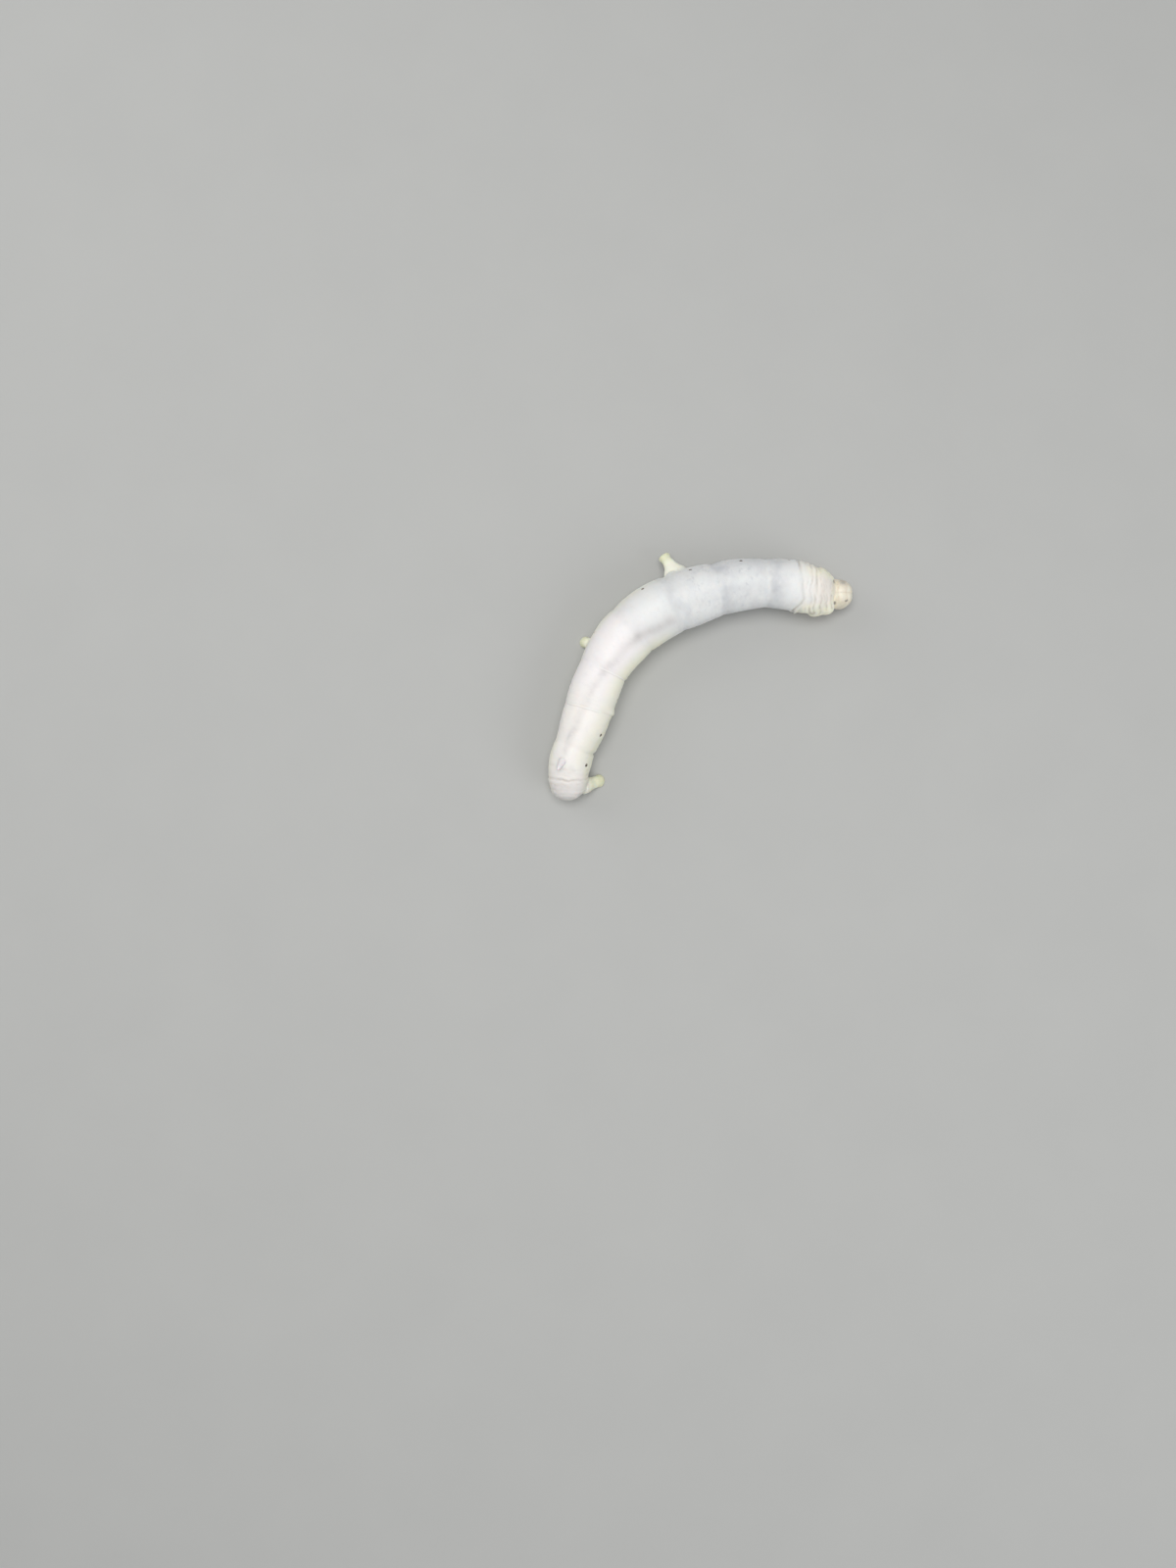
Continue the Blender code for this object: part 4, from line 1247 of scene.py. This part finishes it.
def make_leg(leg):
    """Four horny plates over a soft core, ending in one curved claw."""
    def spot(t):
        shares, out, ahead = LEG_BEND
        return leg_point(leg, t, smooth(shares, out, t), smooth(shares, ahead, t))

    def stations(first, last, start, end):
        made = []
        for t, full in PLATE_FORM:
            at, size = first + (last - first) * t, (start + (end - start) * t) * full
            ahead = min(at + 0.01, 1.0)
            made.append((spot(at), spot(ahead) - spot(ahead - 0.02), leg["back"], size * 0.88, size))
        return made

    parts = [dress(grow("core", stations(*LEG_CORE)), PALE)]
    parts += [dress(grow("plate", stations(*plate), 20), SHELL) for plate in LEG_PLATES]
    base, tip, hook = spot(0.93), spot(1.0), []
    for t in np.linspace(0.0, 1.0, 7):
        size = 0.15 * (1 - t) ** 0.7 + 0.025
        centre = base + (tip - base) * t + leg["outward"] * (math.sin(t * math.pi * 0.9) * 0.10)
        centre[2] = max(centre[2], size * 0.9)
        hook.append((centre, tip - base, leg["back"], size, size))
    parts.append(dress(grow("claw", hook, 12), DARK))
    return finished(join(parts, leg["node"] + "_jointed"), "leg_shell", leg["node"])


HORN_LENGTH, HORN_STATIONS = 2.35, 15
HORN_LEAN = (34.0, 56.0)                # degrees to the rear at its root and its tip


def make_horn():
    """The short soft horn of the eighth abdominal segment, ringed and leaning to the rear."""
    back, left, up = (way[0] for way in axes(HORN_PLACE))
    root, stations = skin_at(HORN_PLACE, 0.0, -0.45)[0], []
    for t in np.linspace(0.0, 1.0, HORN_STATIONS):
        lean = math.radians(HORN_LEAN[0] + (HORN_LEAN[1] - HORN_LEAN[0]) * t)
        away = up * math.cos(lean) + back * math.sin(lean)
        if stations:
            root = root + away * (HORN_LENGTH / (HORN_STATIONS - 1))
        size = (0.68 * (1 - t) ** 1.1 + 0.19) * (1 + 0.045 * math.cos(t * 34.0)) * (1.0 if t < 0.95 else 0.72)
        stations.append((root, away, left, size, size))
    horn = grow("horn", stations, 28)
    f = Finish("soft horn skin", Roughness=0.48, Subsurface_Weight=0.25, Subsurface_Scale=0.0007)
    where = f.node("ShaderNodeTexCoord").outputs["Object"]
    colour = f.mix(f.limit(f.cloud(where, 900.0), 0.35, 0.65), (0.80, 0.765, 0.775), (0.76, 0.73, 0.745))
    dress(horn, f.wear(colour, f.bump(f.cloud(where, 4000.0), 0.03, 0.5)))
    return finished(horn, "abdomen_skin", "caudal_horn")


SPIRACLE_SIZES = {"thorax_1": 0.8, "abdomen_8": 1.15}      # the others are 1


def make_spiracles():
    """Black oval breathing holes down both flanks, each a raised rim round a slit."""
    def slit(p):
        p[:, 2] -= 0.9 * bell(p[:, 0], 0.16) * (p[:, 2] > 0)
        return p

    holes = []
    for name, share, angle in SPIRACLES:
        for _, sign in SIDES:
            s, size = place(name, share), SPIRACLE_SIZES.get(name, 1.0)
            spot, way = on_skin(s, sign * angle)
            back = axes(s)[0][0]
            along = unit(back - way * (back @ way))
            ways = np.array([along, np.cross(way, along), way])
            bpy.ops.object.select_all(action="DESELECT")
            bpy.ops.mesh.primitive_torus_add(major_segments=28, minor_segments=8,
                                             major_radius=MM, minor_radius=0.24 * MM)
            rim = named("rim")
            oval = coords(rim) * (0.215 * size, 0.30 * size, 0.28 * size)
            set_coords(rim, spot + way * 0.015 + oval @ ways)
            shade(rim)
            holes.append(dress(rim, DARK))
            valve = egg("valve", spot, ways, (0.20 * size, 0.285 * size, 0.06 * size), slit, 3)
            holes.append(dress(valve, LENS))
    return finished(join(holes, "spiracles"), "eye_lens")


def many(name, template, faces, frames, roots=None):
    """One mesh of many copies of a small shape. Each frame is an origin and three ways in millimetres."""
    points = np.concatenate([origin + template @ ways for origin, ways in frames])
    count = len(template)
    copies = [tuple(k + n * count for k in face) for n in range(len(frames)) for face in faces]
    obj = new_object(name, points, copies)
    if roots is not None:
        # Each copy's own small patch of the map, at its root.
        across = template[:, 0] / (np.abs(template[:, :2]).max() + 1e-9)
        local = np.column_stack([across, template[:, 2] / template[:, 2].max() * 2 - 1]) * 0.0015
        corner = np.empty(len(obj.data.loops), dtype=int)
        obj.data.loops.foreach_get("vertex_index", corner)
        places = np.asarray(roots)[corner // count] + local[corner % count]
        obj.data.uv_layers.new(name="OFBake").data.foreach_set("uv", places.ravel())
    shade(obj)
    return obj


HOOK_RINGS, HOOK_SIDES, HOOK_TURN = 6, 5, 2.6
HOOKS_PER_SOLE, HOOK_SPREAD, HOOK_INSET = 30, 78.0, 0.86


def hook_shape():
    """One hook, bent over from its root."""
    a = 2 * np.pi * np.arange(HOOK_SIDES) / HOOK_SIDES
    rings = []
    for t in np.arange(HOOK_RINGS) / (HOOK_RINGS - 1):
        sine, cosine, thick = math.sin(t * HOOK_TURN), math.cos(t * HOOK_TURN), 0.028 * (1 - t) + 0.005
        bow = np.array([0.11 * (1 - cosine), 0.0, 0.13 * sine])
        rings.append(bow + np.outer(np.cos(a), [cosine, 0.0, -sine]) * thick
                     + np.outer(np.sin(a), [0.0, 1.0, 0.0]) * thick)
    return loft(rings)


def make_hooks():
    """Rows of tiny brown hooks on the inner half of each proleg's sole."""
    frames = []
    for foot in FEET:
        down, along = foot["down"], unit(foot["along"] - foot["down"] * (foot["along"] @ foot["down"]))
        outward = unit(np.cross(along, down))
        outward = outward if outward @ foot["outward"] > 0 else -outward
        long, wide = foot["sole_size"] * HOOK_INSET
        for number, angle in enumerate(np.radians(np.linspace(-HOOK_SPREAD, HOOK_SPREAD, HOOKS_PER_SOLE))):
            sine, cosine, size = math.sin(angle), math.cos(angle), 1.0 if number % 2 else 0.72
            way = along * sine - outward * cosine
            rooted = foot["sole"] + along * (sine * long) - outward * (cosine * wide) - down * 0.20
            frames.append((rooted, np.array([way, np.cross(down, way), down]) * size))
    return finished(dress(many("sole_hooks", *hook_shape(), frames), DARK), "leg_shell")


# Share of a hair's length and its half breadth there.
HAIR_FORM = ((-0.06, 0.030), (0.35, 0.024), (0.7, 0.015), (1.0, 0.003))
BODY_TRIES, HEAD_TRIES = 820, 110


def hair_shape():
    a = np.radians((0.0, 120.0, 240.0))
    return loft([np.column_stack([np.cos(a) * r + 0.10 * t * t, np.sin(a) * r, a * 0 + t])
                 for t, r in HAIR_FORM])


def make_hairs():
    """Sparse short bristles: thickest on the head, the flanks and round the prolegs."""
    rng = np.random.default_rng(5)
    frames, roots = [], []

    def plant(spot, way, lie, length):
        way = unit(way + lie + rng.normal(0.0, 0.12, 3))
        side = unit(np.cross(way, rng.normal(0.0, 1.0, 3)))
        frames.append((spot, np.array([side, np.cross(way, side), way]) * length))

    for _ in range(BODY_TRIES):
        s = rng.uniform(FRONT + 0.4, TOTAL - 0.3)
        around = rng.uniform(-180.0, 180.0)
        on_flank, at_end = abs(around) > 85.0, s < 9.0 or s > 62.0
        if rng.uniform() > (0.10 + 0.90 * on_flank) * (1.0 if at_end else 0.6):
            continue
        spot, way = on_skin(s, around)
        if spot[2] < 0.35:
            continue
        plant(spot, way, axes(s)[0][0] * 0.35, rng.uniform(0.18, 0.42))
        roots.append((0.02 + 0.96 * s / TOTAL, 0.02 + 0.96 * (around + 180.0) / 360.0))
    for _ in range(HEAD_TRIES):
        across, down = rng.uniform(-95.0, 95.0), rng.uniform(-70.0, 60.0)
        spot = head_point(across, down, 0.0)
        if (spot - middle(FRONT)[0]) @ axes(FRONT)[0][0] > -0.35:
            continue
        plant(spot, unit(spot - HEAD_MIDDLE), FACE * 0.6, rng.uniform(0.12, 0.30))
        roots.append((0.02 + 0.05 * (across + 95.0) / 190.0, 0.02 + 0.96 * (down + 70.0) / 130.0))
    return finished(dress(many("hairs", *hair_shape(), frames, roots), BRISTLE), "abdomen_skin")


make_head()
for side, sign in SIDES:
    make_eyes(side, sign)
    make_feeler(side, sign)
make_mouth()
for leg in HIPS:
    make_leg(leg)
make_horn()
make_spiracles()
make_hooks()
make_hairs()


# ---------------------------------------------------------------- floor, light and camera

def area(name, place_mm, size, power, tint=(1.0, 1.0, 1.0)):
    light = bpy.data.lights.new(name, "AREA")
    light.shape, light.size, light.energy, light.color = "DISK", size, power, tint
    lamp = bpy.data.objects.new(name, light)
    bpy.context.scene.collection.objects.link(lamp)
    lamp.location = Vector(place_mm) * MM
    lamp.rotation_euler = (-lamp.location).to_track_quat("-Z", "Y").to_euler()
    return lamp


FLOOR_SIZE, FLOOR_DROP = 4.0, 0.02 * MM     # the drop keeps the soles from flickering with the floor
bpy.ops.mesh.primitive_plane_add(size=FLOOR_SIZE, location=(0.0, 0.0, -FLOOR_DROP))
floor = named("floor")
bpy.ops.object.transform_apply(location=True, rotation=True, scale=True)
paper = Finish("pale paper floor", Roughness=0.9, Specular_IOR_Level=0.2)
spread = paper.cloud(paper.node("ShaderNodeTexCoord").outputs["Object"], 60.0)
floor.data.materials.append(paper.wear(paper.mix(spread, (0.45, 0.455, 0.447), (0.475, 0.48, 0.47))))

# A soft main light overhead, a cooler one from the right and a faint one from the left.
key = area("key", (-45.0, 30.0, 490.0), 0.28, 1.43, (1.0, 0.985, 0.965))
fill = area("fill", (330.0, -220.0, 300.0), 0.35, 0.60, (0.97, 0.985, 1.0))
side = area("side", (-300.0, 190.0, 200.0), 0.30, 0.28)
world = bpy.data.worlds.new("studio")
world.use_nodes = True
world.node_tree.nodes["Background"].inputs["Color"].default_value = (0.98, 0.99, 1.0, 1.0)
world.node_tree.nodes["Background"].inputs["Strength"].default_value = 0.33
bpy.context.scene.world = world
bpy.context.scene.view_settings.view_transform = "Standard"

CAMERA_PLACE = (-0.019216, -0.018440, 0.213)    # straight above a point beside the animal
camera = bpy.data.cameras.new("camera")
camera.lens, camera.sensor_width = 28.09, 36.0
camera.clip_start = 0.01
eye = bpy.data.objects.new("camera", camera)
bpy.context.scene.collection.objects.link(eye)
eye.location = CAMERA_PLACE
bpy.context.scene.camera = eye
